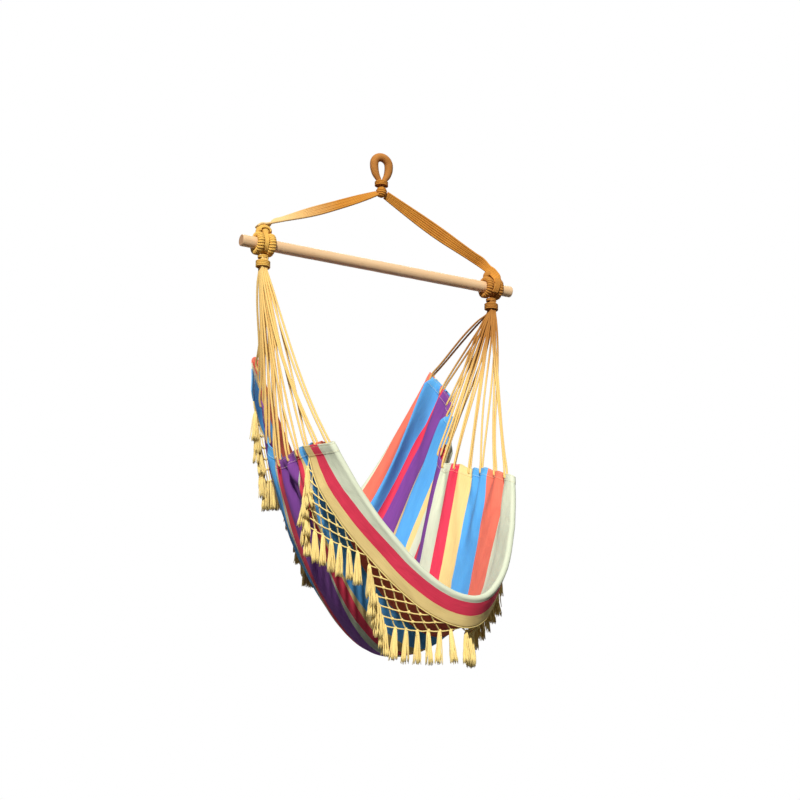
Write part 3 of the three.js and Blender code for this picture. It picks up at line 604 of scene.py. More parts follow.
def makeEye():
    half = (eye["openingWidth"] + eye["strand"]) / 2
    leg = eye["neckStrand"] / 2 + eye["gap"]
    widths, z = np.array(eye["widthShares"]), neckTop * np.array(eye["legShares"])
    z[0] = neckBottom
    side = stacked(leg + (half - leg) * widths, 0, z)
    turn = np.linspace(np.pi, 0, 13)
    top = stacked(half * np.cos(turn), 0, eye["strand"] / 2 - half + half * np.sin(turn))
    route = np.concatenate([side * (-1, 1, 1), top, side[::-1]])
    share = np.concatenate([widths, np.ones(len(turn)), widths[::-1]])
    paths = evenly(throughPoints(route[None], 24), eye["step"])
    run = runs(route[None])[0]
    share = np.interp(np.linspace(0, 1, paths.shape[1]), run / run[-1], share)
    radius = (eye["neckStrand"] + (eye["strand"] - eye["neckStrand"]) * share) / 2
    part = tubes(paths, (0, 1, 0), radius, sides=28, lobes=1, lay=servedCord["lay"], depth=eye["relief"])
    makePiece("ropeEye", "hanging_eye", "hook_eye", ["served"], [part])


def wound(centre, radius, cord, gap, turns, stations, lay=0.014):
    # A cord round the vertical: the angle grows evenly, and each turn lies a cord and a gap lower
    t = np.arange(int(turns * stations) + 1) / stations
    out = stacked(np.cos(2 * np.pi * t), np.sin(2 * np.pi * t), 0)
    path = np.array(centre) + out * radius + stacked(0, 0, (turns / 2 - t) * (cord + gap))
    return tubes([path], out, cord / 2 * woundFull, sides=12, lay=lay)


def makeSeizing():
    cord = eye["seizingCord"]
    radius = eye["neckStrand"] + 2 * eye["gap"] + cord / 2
    middle = (0, 0, (neckTop + neckBottom) / 2)
    part = wound(middle, radius, cord, eye["seizingGap"], eye["seizingTurns"], 36, lay=0.012)
    makePiece("eyeSeizing", "eye_seizing", "swivel", ["rope"], [part])


def makeThroat():
    # A ball of cord: one winding from pole to pole over a core
    t = np.linspace(0, 1, 420)
    polar = np.radians(throat["pole"] + (180 - 2 * throat["pole"]) * t)
    angle = 2 * np.pi * throat["turns"] * t
    out = stacked(np.sin(polar) * np.cos(angle), np.sin(polar) * np.sin(angle), np.cos(polar))
    path = pivot + out * (throatRadius - throat["cord"] / 2)
    part = tubes([path], out, throat["cord"] / 2 * throat["full"], sides=10, lay=0.013)
    core = ball(pivot, (throatRadius - throat["coreInset"],) * 3, 16, 24)
    makePiece("throatKnot", "bridle_throat", "throat", ["rope"], [part, core])


makeEye()
makeSeizing()
makeThroat()

# Bar, and what is knotted on it
bar = {
    "drop": 0.376, "length": 1.0, "diameter": 0.038, "edge": 0.003, "fit": 0.0004, "dome": 0.0004,
    "sides": 96, "stations": 60, "faceRings": (0.0004, 0.004, 0.009, 0.013), "plainEnd": 0.01,
    "waves": ((0.00012, 37, 0), (0.0001, 91, 1)), "endGrain": 0.6,
}
barRadius = bar["diameter"] / 2


def roundBar(x, radius, angle):
    # Points at a radius round the bar's axis, by the angle up from the back
    return stacked(x, radius * np.cos(angle), radius * np.sin(angle) - bar["drop"])


def makeBar():
    # Turned wood: a profile of radii along the length, round the bar's axis, with eased edges and
    # slightly domed ends. Two slight waves, each by its height, rate and phase, keep its side from looking
    # machined.
    half, edge, sides, stations = bar["length"] / 2, bar["edge"], bar["sides"], bar["stations"]
    ease = np.radians(np.linspace(90, 0, 7))[1:-1]
    faceRadii = np.array([*bar["faceRings"], barRadius - edge])
    endX = half - bar["dome"] * (faceRadii / barRadius) ** 2
    x = np.concatenate([endX, half - edge + edge * np.sin(ease), np.linspace(half - edge, 0, stations)])
    r = np.concatenate([faceRadii, barRadius - edge + edge * np.cos(ease), np.full(stations, barRadius)])
    x, r = np.concatenate([x, -x[-2::-1]]), np.concatenate([r, r[-2::-1]])
    wander = sum(height * np.sin(x * rate + phase) for height, rate, phase in bar["waves"])
    r = r + np.where(np.abs(x) < half - bar["plainEnd"], wander, 0)
    angle = circle(sides)
    uvs = stacked(x[:, None], angle / (2 * np.pi))
    side = surfacePart(roundBar(x[:, None], r[:, None], angle), uvs, closeColumns=True, flip=True)
    ring = np.arange(sides)[None]
    side["faces"] += [ring, (ring + (len(x) - 1) * sides)[:, ::-1]]
    side["uvs"] += [np.zeros((1, sides, 2))] * 2
    piece = makePiece("spreaderBar", "spreader_bar", "sling", ["beech", "beechEnd"], [side])
    centres = np.zeros(len(piece.data.polygons) * 3)
    piece.data.polygons.foreach_get("center", centres)
    onEnd = np.abs(centres.reshape(-1, 3)[:, 0]) > half - edge * bar["endGrain"]
    piece.data.polygons.foreach_set("material_index", onEnd.astype(np.int32))


collar = {
    "span": 0.845, "diameter": 0.076, "width": 0.025, "sideGap": 0.0005, "turns": 24, "stations": 22,
    "cord": 0.0074, "square": 0.72, "ripple": 0.012, "ripples": 7, "slant": 0.09, "ringWidth": 0.014,
    "coreWide": 0.3, "coreThick": 0.35, "squeeze": (0.5, 1.08),
}
collarOffset = collar["ringWidth"] / 2 + collar["sideGap"] + collar["width"] / 2


def closedRing(rows, columns):
    # The angles of a closed ring's grid, round the bar by row and round its section by column, and its UVs
    turn, around = circle(rows)[:, None], circle(columns)[None]
    return turn, around, stacked(turn * 0.03, around / (2 * np.pi))


def makeCollar(side, word, place, shift):
    # Half hitches round the bar: one cord coils round a soft core, while the core goes round the bar
    x0 = side * collar["span"] / 2 + shift * collarOffset
    inner, outer, cord = barRadius + bar["fit"], collar["diameter"] / 2, collar["cord"] / 2
    middle, thick, wide = (inner + outer) / 2, (outer - inner) / 2 - cord, collar["width"] / 2 - cord
    t = np.arange(collar["turns"] * collar["stations"]) / collar["stations"]
    loop, about = 2 * np.pi * t * side, 2 * np.pi * t / collar["turns"]
    cosine, sine = (np.sign(wave) * np.abs(wave) ** collar["square"] for wave in (np.cos(loop), np.sin(loop)))
    rise = middle + sine * thick
    ripple = 1 + collar["ripple"] * np.sin(about * collar["ripples"] + side)
    swing = about + collar["slant"] * np.cos(loop) * side
    path = roundBar(x0 + cosine * wide, rise * ripple, swing)
    refs = stacked(0, -np.sin(swing), np.cos(swing))
    pitch = 2 * np.pi * rise / collar["turns"]
    flat = np.clip(pitch / 2 / cord, *collar["squeeze"])[None]
    coil = tubes([path], refs, cord, sides=10, lay=0.017, depth=0.1, closed=True, flat=flat)
    turn, around, uvs = closedRing(48, 16)
    coreX = x0 + np.cos(around) * (wide + cord * collar["coreWide"])
    corePoints = roundBar(coreX, middle + np.sin(around) * (thick + cord * collar["coreThick"]), turn)
    core = surfacePart(corePoints, uvs, closeRows=True, closeColumns=True)
    name, node = f"collar{word.title()}{place.title()}", f"collar_{word}_{place}"
    makePiece(name, node, "sling", [f"collar{word.title()}"], [coil, core])


# The bridle's loop between each two collars: cords round the bar, drawn up and in to a crown of cords
# above it
ring = {
    "diameter": 0.064, "top": 0.066, "narrow": 0.35, "cord": 0.0052, "pitch": 0.0046, "waver": 0.0006,
    "wavers": 3, "coreInset": 0.0030, "coreHalf": 0.0062,
}
crown = {
    "cords": 9, "cord": 0.0062, "halfWidth": 0.0225, "halfDepth": 0.0185, "rise": 0.0195, "base": 0.0435,
    "lean": 62, "firstAngle": -24, "lastAngle": 204, "square": 0.4, "insets": (0.002, 0.003, 0.001),
}
band = {
    "cords": 5, "cord": 0.0058, "pitch": 0.0052, "firstAngle": 98, "lastAngle": -38, "gap": 0.0024,
    "hump": 0.004, "narrow": 0.25, "slant": 0.010, "shift": 0.002,
}


def ringOutline(angle, inset):
    # A circle below, and above it a pointed arch that reaches the crown
    radius = ring["diameter"] / 2
    rise = np.maximum(np.sin(angle), 0) ** 2
    across = np.cos(angle) * (radius * (1 - ring["narrow"] * rise) - inset)
    up = np.sin(angle) * (radius + (ring["top"] - radius) * rise - inset)
    return across, up - bar["drop"]


def ringCords(x0):
    # Three cords side by side, over a flat core that fills the room down to the bar
    angle = circle(120)
    offset = np.array([-1, 0, 1])[:, None]
    across, up = ringOutline(angle, ring["cord"] / 2)
    waver = ring["waver"] * np.sin(angle * ring["wavers"] + offset)
    paths = stacked(x0 + (offset * ring["pitch"] + waver), across, up)
    cords = tubes(paths, (1, 0, 0), ring["cord"] / 2, lay=0.014, closed=True, finish=1)
    turn, around, uvs = closedRing(72, 14)
    outer = np.stack(ringOutline(turn, ring["coreInset"]))
    inner = roundBar(x0, barRadius + bar["fit"], turn)[..., 1:].transpose(2, 0, 1)
    y, z = inner + (outer - inner) * (0.5 + 0.5 * np.sin(around))
    points = stacked(x0 + np.cos(around) * ring["coreHalf"], y, z)
    return [cords, surfacePart(points, uvs, closeRows=True, closeColumns=True, finish=1)]


def crownCords(x0):
    # Cords laid side by side over a dome, each along the bar from one foot of it to the other
    lean = np.radians(np.linspace(-crown["lean"], crown["lean"], crown["cords"]))[:, None]
    arc = np.radians(np.linspace(crown["firstAngle"], crown["lastAngle"], 40))[None]
    base = crown["base"] - bar["drop"]
    x = x0 + crown["halfWidth"] * np.cos(lean) ** crown["square"] * np.cos(arc)
    over = stacked(x, crown["halfDepth"] * np.sin(lean), crown["rise"] * np.cos(lean) * np.sin(arc) + base)
    out = stacked(np.cos(arc), np.sin(lean), np.sin(arc))
    dome = tubes(over, out, crown["cord"] / 2, lay=0.015, depth=0.14, finish=1)
    radii = np.array([crown["halfWidth"], crown["halfDepth"], crown["rise"]]) - crown["insets"]
    return [dome, ball((x0, 0, base), radii, 12, 24, finish=1)]


def bandCords(x0):
    # On the right, cords come over the crown and down the front of the collars, and stop above where the
    # neck's bundle comes when the seat rocks
    angle = np.radians(np.linspace(band["firstAngle"], band["lastAngle"], 52))[None]
    shift = (np.arange(band["cords"]) - (band["cords"] - 1) / 2)[:, None] * band["pitch"]
    radius = collar["diameter"] / 2 + band["gap"] + band["hump"] * np.clip(np.sin(angle), 0, 1) ** 2
    x = x0 + shift * (1 - band["narrow"] * np.cos(angle)) + band["slant"] * np.sin(angle) + band["shift"]
    paths = roundBar(x, radius, np.pi - angle)
    refs = stacked(0 * x, -np.cos(angle), np.sin(angle))
    return [tubes(paths, refs, band["cord"] / 2, lay=0.015, depth=0.14, finish=1)]


def makeBridleRing(side, word):
    x0 = side * collar["span"] / 2
    parts = ringCords(x0) + crownCords(x0) + (bandCords(x0) if side > 0 else [])
    name, node = f"bridleRing{word.title()}", f"bridle_ring_{word}"
    makePiece(name, node, "bridle", ["rope", f"collar{word.title()}"], parts)


bridle = {
    "strand": 0.0072, "count": 3, "pitch": 0.0132, "cordShift": 0.27, "stations": 14, "step": 0.0022,
    "twist": math.radians(68), "firstTwist": 0.7, "twistSpeed": 2.2, "widthSpeed": 2.6, "endShare": 0.55,
    "setIn": 0.0008, "slack": 0.0018, "cordSlack": 0.0008, "slackWaves": 2.4, "full": 1.12,
    "left": {"startWidth": 0.5, "taper": 0.5, "endTurn": 0.5},
    "right": {"startWidth": 0.62, "taper": 0.15, "endTurn": 0.35},
}
# How the left leg goes on over its crown to the bar's end, by angles over the dome, and the right one
# down the front, by its place at each of five angles round the bar
overEnd = {"firstAngle": 70, "lead": 900, "lastAngle": 150, "gap": 0.001, "width": 0.55}
overFront = {
    "angles": (81, 71, 58, 42, 26), "radii": (0.0648, 0.0575, 0.0490, 0.0440, 0.0370), "width": 0.62,
    "shifts": (-0.016, -0.008, -0.001, 0.004, 0.007),
    "firstAcross": (0.34, -0.72, 0.60), "lastAcross": (0.80, -0.10, 0.58),
}


def landOnCrown(side, x0, offset):
    if side < 0:
        first = overEnd["firstAngle"] - offset * overEnd["lead"]
        arc = np.radians(np.linspace(first, overEnd["lastAngle"], 5))
        radius = bridle["strand"] / 2 + overEnd["gap"]
        x = x0 - side * (crown["halfWidth"] + radius) * np.cos(arc)
        z = (crown["rise"] + radius) * np.sin(arc) + crown["base"] - bar["drop"]
        return stacked(x, offset * overEnd["width"], z)
    angle, radii = np.radians(overFront["angles"]), np.array(overFront["radii"])
    share = np.linspace(0, 1, len(radii))[:, None]
    across = np.array(overFront["firstAcross"]) * (1 - share) + np.array(overFront["lastAcross"]) * share
    middle = roundBar(x0 + np.array(overFront["shifts"]), radii, np.pi - angle)
    return middle + unit(across) * offset * overFront["width"]


def makeBridle(side, word):
    # Three strands of two cords each, from the throat to the crown of the ring: one flat bundle, which is
    # narrow at the throat, turns as it widens, and sags a little
    x0, strand, own = side * collar["span"] / 2, bridle["strand"], bridle[word]
    crest = np.array([x0 - side * strand, 0, -bar["drop"] + ring["top"] + strand])
    line = unit(crest - pivot)
    lift = np.array([-line[2] * side, 0, line[0] * side])
    setOut, reach = throatRadius - bridle["setIn"], np.linalg.norm(crest - pivot)
    t = np.linspace(0, 1, bridle["stations"])[:, None]
    twisted = np.sin(np.pi / 2 * np.clip(t * bridle["twistSpeed"], 0, 1))
    widened = np.sin(np.pi / 2 * np.clip(t * bridle["widthSpeed"], 0, 1))
    atEnd = eased((t - 1 + bridle["endShare"]) / bridle["endShare"])
    turn = bridle["twist"] * (bridle["firstTwist"] + (1 - bridle["firstTwist"]) * twisted)
    turn = turn * (1 - own["endTurn"] * atEnd)
    if side > 0:
        turn = np.pi - turn
    width = (own["startWidth"] + (1 - own["startWidth"]) * widened) * (1 - own["taper"] * atEnd)
    for k in range(bridle["count"]):
        routes = []
        for cord in (-bridle["cordShift"], bridle["cordShift"]):
            place = k - (bridle["count"] - 1) / 2
            offset = (place + cord) * bridle["pitch"]
            wave = np.sin(bridle["slackWaves"] * np.pi * t + side)
            slack = (bridle["slack"] * place + bridle["cordSlack"] * cord) * wave
            across, up = offset * width * np.cos(turn), offset * width * np.sin(turn)
            points = pivot + line * (setOut + (reach - setOut) * t) + across * (0, 1, 0)
            points = points + lift * (up - (strand / 2 + slack) * np.sin(np.pi * t))
            routes.append(np.concatenate([points[:-1], landOnCrown(side, x0, offset)]))
        paths = evenly(throughPoints(np.array(routes), 12), bridle["step"])
        part = tubes(paths, (0, 1, 0), strand / 2 * bridle["full"], sides=15, lay=0.030, depth=0.12)
        name, node = f"bridleStrand{word.title()}{k + 1}", f"bridle_strand_{word}_{k + 1}"
        makePiece(name, node, "bridle", [f"rope{word.title()}"], [part])


# The bundle of strings under the bar: its head below the collars, and the binding round it
neck = {
    "blockDepth": 0.010, "blockGap": 0.0003, "string": 0.0048, "spacing": 0.0053, "columns": 6, "rows": 4,
    "clearance": 0.0006, "headTurns": 2.0, "headGap": -0.0002, "coreInset": 0.002, "coreGap": 0.0002,
    "bindingCord": 0.005, "bindingTurns": 4, "bindingOverlap": 0.2, "bindingDrop": 0.008,
    "windingGap": 0.0006, "drawnGap": 0.0003,
}
blockTop = -bar["drop"] - collar["diameter"] / 2 - neck["blockGap"]
blockBottom = blockTop - neck["blockDepth"]
bundleCorner = math.hypot((neck["columns"] - 1) / 2, (neck["rows"] - 1) / 2) * neck["spacing"]
bundleRadius = bundleCorner + neck["string"] / 2
bindingHeight = neck["bindingTurns"] * (neck["bindingCord"] + neck["windingGap"])


def makeNeck(side, word):
    # The bundle's head: two turns of cord round a soft core; below it the binding, four turns laid close
    x0, cord, finish = side * collar["span"] / 2, neck["bindingCord"], f"collar{word.title()}"
    middle = (x0, 0, (blockTop + blockBottom) / 2)
    wraps = wound(middle, bundleRadius - cord / 2 * woundFull, cord, neck["headGap"], neck["headTurns"], 40)
    coreRadius, coreHeight = bundleRadius - neck["coreInset"], neck["blockDepth"] / 2 - neck["coreGap"]
    core = ball(middle, (coreRadius, coreRadius, coreHeight), 12, 28)
    name, node = f"slingNeck{word.title()}", f"sling_neck_{word}"
    makePiece(name, node, "sling", [finish], [wraps, core])
    centre = (x0, 0, blockBottom - neck["bindingDrop"] - bindingHeight / 2)
    radius, turns = bundleRadius + neck["clearance"] + cord / 2, neck["bindingTurns"] + neck["bindingOverlap"]
    part = wound(centre, radius, cord, neck["drawnGap"], turns, 44)
    makePiece(f"neckBinding{word.title()}", f"neck_binding_{word}", "sling", [finish], [part])


makeBar()
for side, word in ((-1, "left"), (1, "right")):
    for place, shift in (("outer", side), ("inner", -side)):
        makeCollar(side, word, place, shift)
    makeBridleRing(side, word)
    makeBridle(side, word)
    makeNeck(side, word)
print("eye, bridle, bar and collars made")

# The sling. Rows run from the left hem through the seat to the right hem; a row's place goes from 0 at
# the back fold to 1 at the front fold. Each table holds a value at each place in rowShares, chosen to
# follow the hung shape, and a pair of tables is for the left hem and the right one.
sling = {
    "hemSpan": 0.670, "hemBackReach": 0.235, "hemFrontReach": 0.300, "hemBackDrop": 0.268,
    "hemFrontDrop": 0.710, "seatBackReach": 0.330, "seatFrontReach": 0.485, "seatBackDrop": 0.785,
    "seatBottomDrop": 1.285, "frontReachSkew": 0.048, "backReachSkew": 0.016, "backLevelSkew": 0.030,
    "seatShift": 0.045, "sideBulge": 0.380, "balanceRight": 0.0036, "balanceBack": 0.0178,
    "hemDepth": 0.035, "underHem": 0.002, "clothWidth": 1.350, "wall": 0.0018, "halfPoints": 16,
    "pointSpread": 0.75, "rows": 171, "columns": 221, "crowding": 0.28,
}
rowShares = np.array([0, 0.16, 0.32, 0.5, 0.68, 0.86, 1])
hemShares = {
    "width": ([1, 1.03, 1.045, 1.03, 1.03, 1, 1], [1, 1.03, 1.0, 0.745, 0.91, 1.01, 1]),
    "reach": ([0, 0.104, 0.21, 0.351, 0.563, 0.77, 1], [0, 0.18, 0.33, 0.42, 0.54, 0.777, 1]),
    "fall": ([0, 0.3, 0.62, 0.92, 0.93, 0.93, 1], [0, 0.2, 0.44, 0.76, 0.84, 0.913, 1]),
}
middleShares = {
    "reach": [0, 0.03, 0.15, 0.36, 0.58, 0.81, 1], "fall": [0, 0.35, 0.68, 0.93, 1, 0.91, 0.74],
    "shift": [0, 0, 0, 0.1, 0.4, 0.8, 1], "bulge": [0, 0.7, 1, 0.8, 0.3, 0, 0],
    "fullness": [1.3, 1.45, 1.6, 1.9, 2.1, 1.95, 1.95],
}


def fromTable(table, place):
    # A smooth value from a table: a cubic between two entries, whose slopes are their neighbours' mean
    table, place = np.array(table, float), np.asarray(place, float)
    low = np.maximum(np.arange(len(table)) - 1, 0)
    high = np.minimum(np.arange(len(table)) + 1, len(table) - 1)
    slope = (table[high] - table[low]) / (rowShares[high] - rowShares[low])
    k = np.searchsorted(rowShares[1:-1], place, side="left")
    width = rowShares[k + 1] - rowShares[k]
    t = (place - rowShares[k]) / width
    return cubic(t, table[k], table[k + 1], width * slope[k], width * slope[k + 1])


def rowCurves(places):
    # A row's curve: it leaves the middle's point for each hem's by a power of the share of the way out
    s = sling
    k = np.arange(-s["halfPoints"], s["halfPoints"] + 1)
    side, share = np.sign(k), (np.abs(k) / s["halfPoints"]) ** s["pointSpread"]

    def atHem(word):
        left, right = hemShares[word]
        return np.where(side < 0, fromTable(left, places)[:, None], fromTable(right, places)[:, None])

    def atMiddle(word):
        return fromTable(middleShares[word], places)[:, None]

    hemX = atHem("width") * s["hemSpan"] / 2
    backY = s["hemBackReach"] + side * s["backReachSkew"]
    frontY = -s["hemFrontReach"] + side * s["frontReachSkew"]
    hemY = backY + (frontY - backY) * atHem("reach")
    backZ = -s["hemBackDrop"] + side * s["backLevelSkew"]
    hemZ = backZ + (-s["hemFrontDrop"] - backZ) * atHem("fall")
    middleX = atMiddle("shift") * s["seatShift"]
    middleY = s["seatBackReach"] - atMiddle("reach") * (s["seatBackReach"] + s["seatFrontReach"])
    middleZ = -s["seatBackDrop"] - atMiddle("fall") * (s["seatBottomDrop"] - s["seatBackDrop"])
    depth = 1 - share ** atMiddle("fullness")
    bulge = atMiddle("bulge") * s["sideBulge"] * share**3 * (1 - share)
    x = side * hemX * share + middleX * (1 - share) + s["balanceRight"]
    y = hemY + (middleY - hemY) * depth + bulge + s["balanceBack"]
    z = hemZ + (middleZ - hemZ) * depth - bar["drop"]
    return throughPoints(np.stack([x, y, z], -1), 8)


def rowLengths(places):
    return curveLengths(rowCurves(places))[:, None]


def wallPoints(places, shares):
    # Points at a place for each row and a share of the way across it
    curves = rowCurves(places)
    return atLengths(curves, shares * curveLengths(curves)[:, None])


def wallNormals(places, shares, aside=0.004, ahead=0.010):
    # Outward normals: across the row by along the sling, from points a little to each side
    right = wallPoints(places, np.minimum(shares + aside, 1))
    left = wallPoints(places, np.maximum(shares - aside, 0))
    front = wallPoints(np.minimum(places + ahead, 1), shares)
    back = wallPoints(np.maximum(places - ahead, 0), shares)
    return unit(np.cross(right - left, front - back))


# Folds: ridges that start at the hems between the strings and run in towards the seat, wider and lower as
# they go. Each range is the least and the most of a random factor.
foldSettings = {
    "perHem": 26, "seed": 11, "width": 0.015, "height": 0.0085, "reach": 0.24, "pull": 0.9, "focus": 0.62,
    "shiftRange": (-0.3, 0.3), "heightRange": (0.45, 1.35), "widthRange": (0.75, 1.3),
    "reachRange": (0.45, 1.9), "driftRange": (-0.2, 0.2),
}


def makeFolds():
    chance, s = np.random.default_rng(foldSettings["seed"]), foldSettings
    k = np.arange(s["perHem"])
    rows = []
    for side in (0, 1):
        places = (k + 0.5) / len(k) + chance.uniform(*s["shiftRange"], len(k)) / len(k)
        heights = s["height"] * chance.uniform(*s["heightRange"], len(k)) * np.where(k % 2 == 0, 1, -1)
        widths = s["width"] * chance.uniform(*s["widthRange"], len(k))
        reaches = s["reach"] * chance.uniform(*s["reachRange"], len(k))
        drifts = (s["focus"] - places) * s["pull"] + chance.uniform(*s["driftRange"], len(k))
        rows.append(stacked(side, places, heights, widths, reaches, drifts))
    return np.concatenate(rows)


# Folds that the photograph shows one by one, each by its side (1 is the right), place at the hem, height,
# width, reach and drift
mainFolds = np.array([
    (1, 0.048, -0.060, 0.016, 0.90, 0.10), (1, 0.112, 0.012, 0.018, 0.90, 0.10),
    (1, 0.30, -0.034, 0.022, 0.70, 0.03), (1, 0.42, 0.034, 0.030, 0.50, 0.02),
    (1, 0.62, -0.014, 0.020, 0.40, -0.02), (1, 0.80, -0.010, 0.016, 0.34, -0.10),
    (1, 0.925, 0.018, 0.014, 0.34, -0.05),
    (0, 0.62, 0.016, 0.015, 0.30, 0.50), (0, 0.56, -0.012, 0.018, 0.30, 0.36),
    (0, 0.71, -0.012, 0.018, 0.28, 0.42), (0, 0.42, 0.014, 0.020, 0.34, 0.25),
    (0, 0.16, -0.012, 0.026, 0.34, 0.30), (0, 0.84, 0.008, 0.018, 0.24, -0.10),
])
folds = np.concatenate([makeFolds(), mainFolds])
# The gathers at the strings, how folds widen and fade, and two layers of unevenness, the second one finer.
# A layer's rates are those of its two directions, along the sling and across it.
relief = {
    "gather": 0.014, "waves": 11, "hemFree": 0.6, "widening": 1.1, "wideningRun": 0.3, "fadeIn": 0.04,
    "leastFade": 0.4, "ends": 4, "leastEnd": 0.35,
    "layers": (
        {"seed": 5, "height": 0.0030, "rates": ((22, 0), (0, 17))},
        {"seed": 9, "height": 0.0011, "rates": ((60, 20), (-16, 46))},
    ),
}


def softNoise(a, b, seed, octaves=3, waves=5, fall=1.7):
    # Smooth waves in two directions at once: sums of sines with fixed random turns
    chance = np.random.default_rng(seed)
    total = 0 * a
    for octave in range(octaves):
        for _ in range(waves):
            angle, phase = chance.uniform(0, np.pi), chance.uniform(0, 2 * np.pi)
            scale = 2.0**octave * chance.uniform(0.8, 1.25)
            total = total + np.sin((a * np.cos(angle) + b * np.sin(angle)) * scale + phase) / fall**octave
    return total / waves


def foldHeights(places, shares, lengths):
    # The sheet's offset along its normal: the gathers' even waves, the folds and a slight unevenness
    fromHem = np.minimum(shares, 1 - shares) * lengths
    edge = np.abs(2 * shares - 1)
    place = places[:, None]
    total = np.cos(relief["waves"] * np.pi * place) * np.sin(np.pi * place) * edge**3 * relief["gather"] / 2
    ends = np.clip(np.sin(np.pi * place) * relief["ends"], relief["leastEnd"], 1)
    inward = np.clip(fromHem - sling["hemDepth"] * relief["hemFree"], 0, None)
    for side, start, height, width, reach, drift in folds:
        spread = width * (1 + relief["widening"] * inward / relief["wideningRun"])
        ridge = np.exp(-(((place - start - drift * inward) / spread) ** 2))
        fade = np.exp(-((inward / reach) ** 2)) * np.clip(fromHem / relief["fadeIn"], relief["leastFade"], 1)
        mine = (shares > 0.5) == (side > 0.5)
        total = total + np.where(mine, height * ridge * fade, 0) * ends
    slight = 0
    for layer in relief["layers"]:
        a, b = (place * along + shares * across for along, across in layer["rates"])
        slight = slight + softNoise(a, b, layer["seed"]) * layer["height"]
    return total + slight * (0.5 + 0.5 * (1 - edge))


# The sheet's two edges fold outwards. The flaps lean out at their ends, the front one most on the left, and
# droop between them.
flap = {
    "radius": 0.009, "turnRows": 8, "rows": 14, "atHem": 0.130, "atMiddle": 0.080, "leanStep": 1 / 11,
    "lean": 0.1, "rightLean": 0.12, "bulgeRise": 1.6, "bulgeFall": 5, "droop": 0.9, "ripple": 0.0026,
    "rippleRates": (42, 3), "leastBulge": 0.3,
}
flapSides = {"front": {"leftLean": 0.50, "seed": 22}, "back": {"leftLean": 0.08, "seed": 21}}


def leanPlace(word, step):
    # The place of the wall's row a number of steps in from the front or the back fold
    inward = flap["leanStep"] * step
    return np.array([1 - inward if word == "front" else inward])


def foldedEdge(word, shares, bodyRow, normals, rowCount):
    # Half a turn outwards round the edge row, then a flap back along the wall, which drops in the middle
    edgeLine, before = (wallPoints(leanPlace(word, step), shares[None])[0] for step in (0, 1))
    ahead = unit(edgeLine - before)
    edge = np.abs(2 * shares - 1)
    radius = flap["radius"]
    angle = np.radians(np.arange(1, flap["turnRows"] + 1) / flap["turnRows"] * 180)[:, None, None]
    turn = bodyRow + ahead * radius * np.sin(angle) + normals * radius * (1 - np.cos(angle))
    bulge = np.clip((1 - edge) * flap["bulgeFall"], flap["leastBulge"], 1)
    bulge = bulge * np.clip(edge * flap["bulgeRise"], 0, 1)
    leftOut = (flapSides[word]["leftLean"] - flap["lean"]) * bulge
    out = flap["lean"] + np.where(shares < 0.5, leftOut, flap["rightLean"] * edge)
    direction = -ahead + normals * out[:, None]
    direction[:, 2] -= flap["droop"] * (1 - edge) ** 3
    width = flap["atMiddle"] + (flap["atHem"] - flap["atMiddle"]) * edge**2
    step = (np.arange(1, rowCount + 1) / rowCount)[:, None]
    across, along = flap["rippleRates"]
    ripple = softNoise(shares * across + 0 * step, step * along + 0 * shares, flapSides[word]["seed"])
    sheet = turn[-1] + unit(direction) * width[:, None] * step[..., None]
    sheet = sheet + normals * (ripple * flap["ripple"] * step)[..., None]
    run = np.concatenate([radius * angle[..., 0] + 0 * shares, radius * np.pi + width * step])
    return np.concatenate([turn, sheet]), run


# On the left some stripes are drawn up in the gathers, and on the right all slant a little. Ramps are
# shares of the way across.
gathers = {
    "frontFold": 0.2, "backFold": 0.11, "colours": ["green", "yellow"], "shrunk": 0.1, "leftRamp": 0.24,
    "slantPlaces": [0, 0.2, 0.55, 1], "slants": [0, 0, -0.09, 0], "rightRamp": 0.22,
}


def gatherEdges():
    # Where each stripe's edge lies along the left hem: in the two folds every stripe keeps its width, and
    # between them the green and yellow ones shrink, and the others share out what they leave
    widths = np.diff(stripeEdges)
    inside = (stripeEdges[:-1] > gathers["frontFold"]) & (stripeEdges[1:] < clothLength - gathers["backFold"])
    shrunk = inside & np.isin([colour for colour, width in stripes], gathers["colours"])
    others = inside & ~shrunk
    scale = np.where(shrunk, gathers["shrunk"], 1.0)
    scale[others] += (widths[shrunk].sum() * (1 - gathers["shrunk"])) / widths[others].sum()
    return np.concatenate([[0], np.cumsum(widths * scale)])


gatheredEdges = gatherEdges()


def slingGrid(places, columns, flapRows):
    # The whole folded sheet, from the back's free edge to the front's. Columns is a function of the rows'
    # lengths and places, and gives shares of the way across.
    lengths = rowLengths(places)
    shares = columns(lengths, places[:, None])
    normals = wallNormals(places, shares)
    body = wallPoints(places, shares) + normals * foldHeights(places, shares, lengths)[..., None]
    front, frontRun = foldedEdge("front", shares[-1], body[-1], normals[-1], flapRows)
    back, backRun = foldedEdge("back", shares[0], body[0], normals[0], flapRows)
    points = np.concatenate([back[::-1], body, front])
    backShares, frontShares = (np.repeat(row[None], len(back), 0) for row in shares[[0, -1]])
    allShares = np.concatenate([backShares, shares, frontShares])
    frontReach, backReach = frontRun[-1], backRun[-1]
    bodyRun = frontReach + (1 - places[:, None]) * (clothLength - frontReach - backReach)
    slant = np.interp(places, gathers["slantPlaces"], gathers["slants"])[:, None]
    bodyRun = bodyRun + slant * np.clip((shares - 0.5) / gathers["rightRamp"], 0, 1)
    gatheredRun = np.interp(bodyRun, gatheredEdges, stripeEdges)
    bodyRun = bodyRun + (gatheredRun - bodyRun) * eased((0.5 - shares) / gathers["leftRamp"])
    run = np.concatenate([(clothLength - backReach + backRun)[::-1], bodyRun, (frontReach - frontRun)])
    return points, np.stack([allShares * sling["clothWidth"], run], -1)


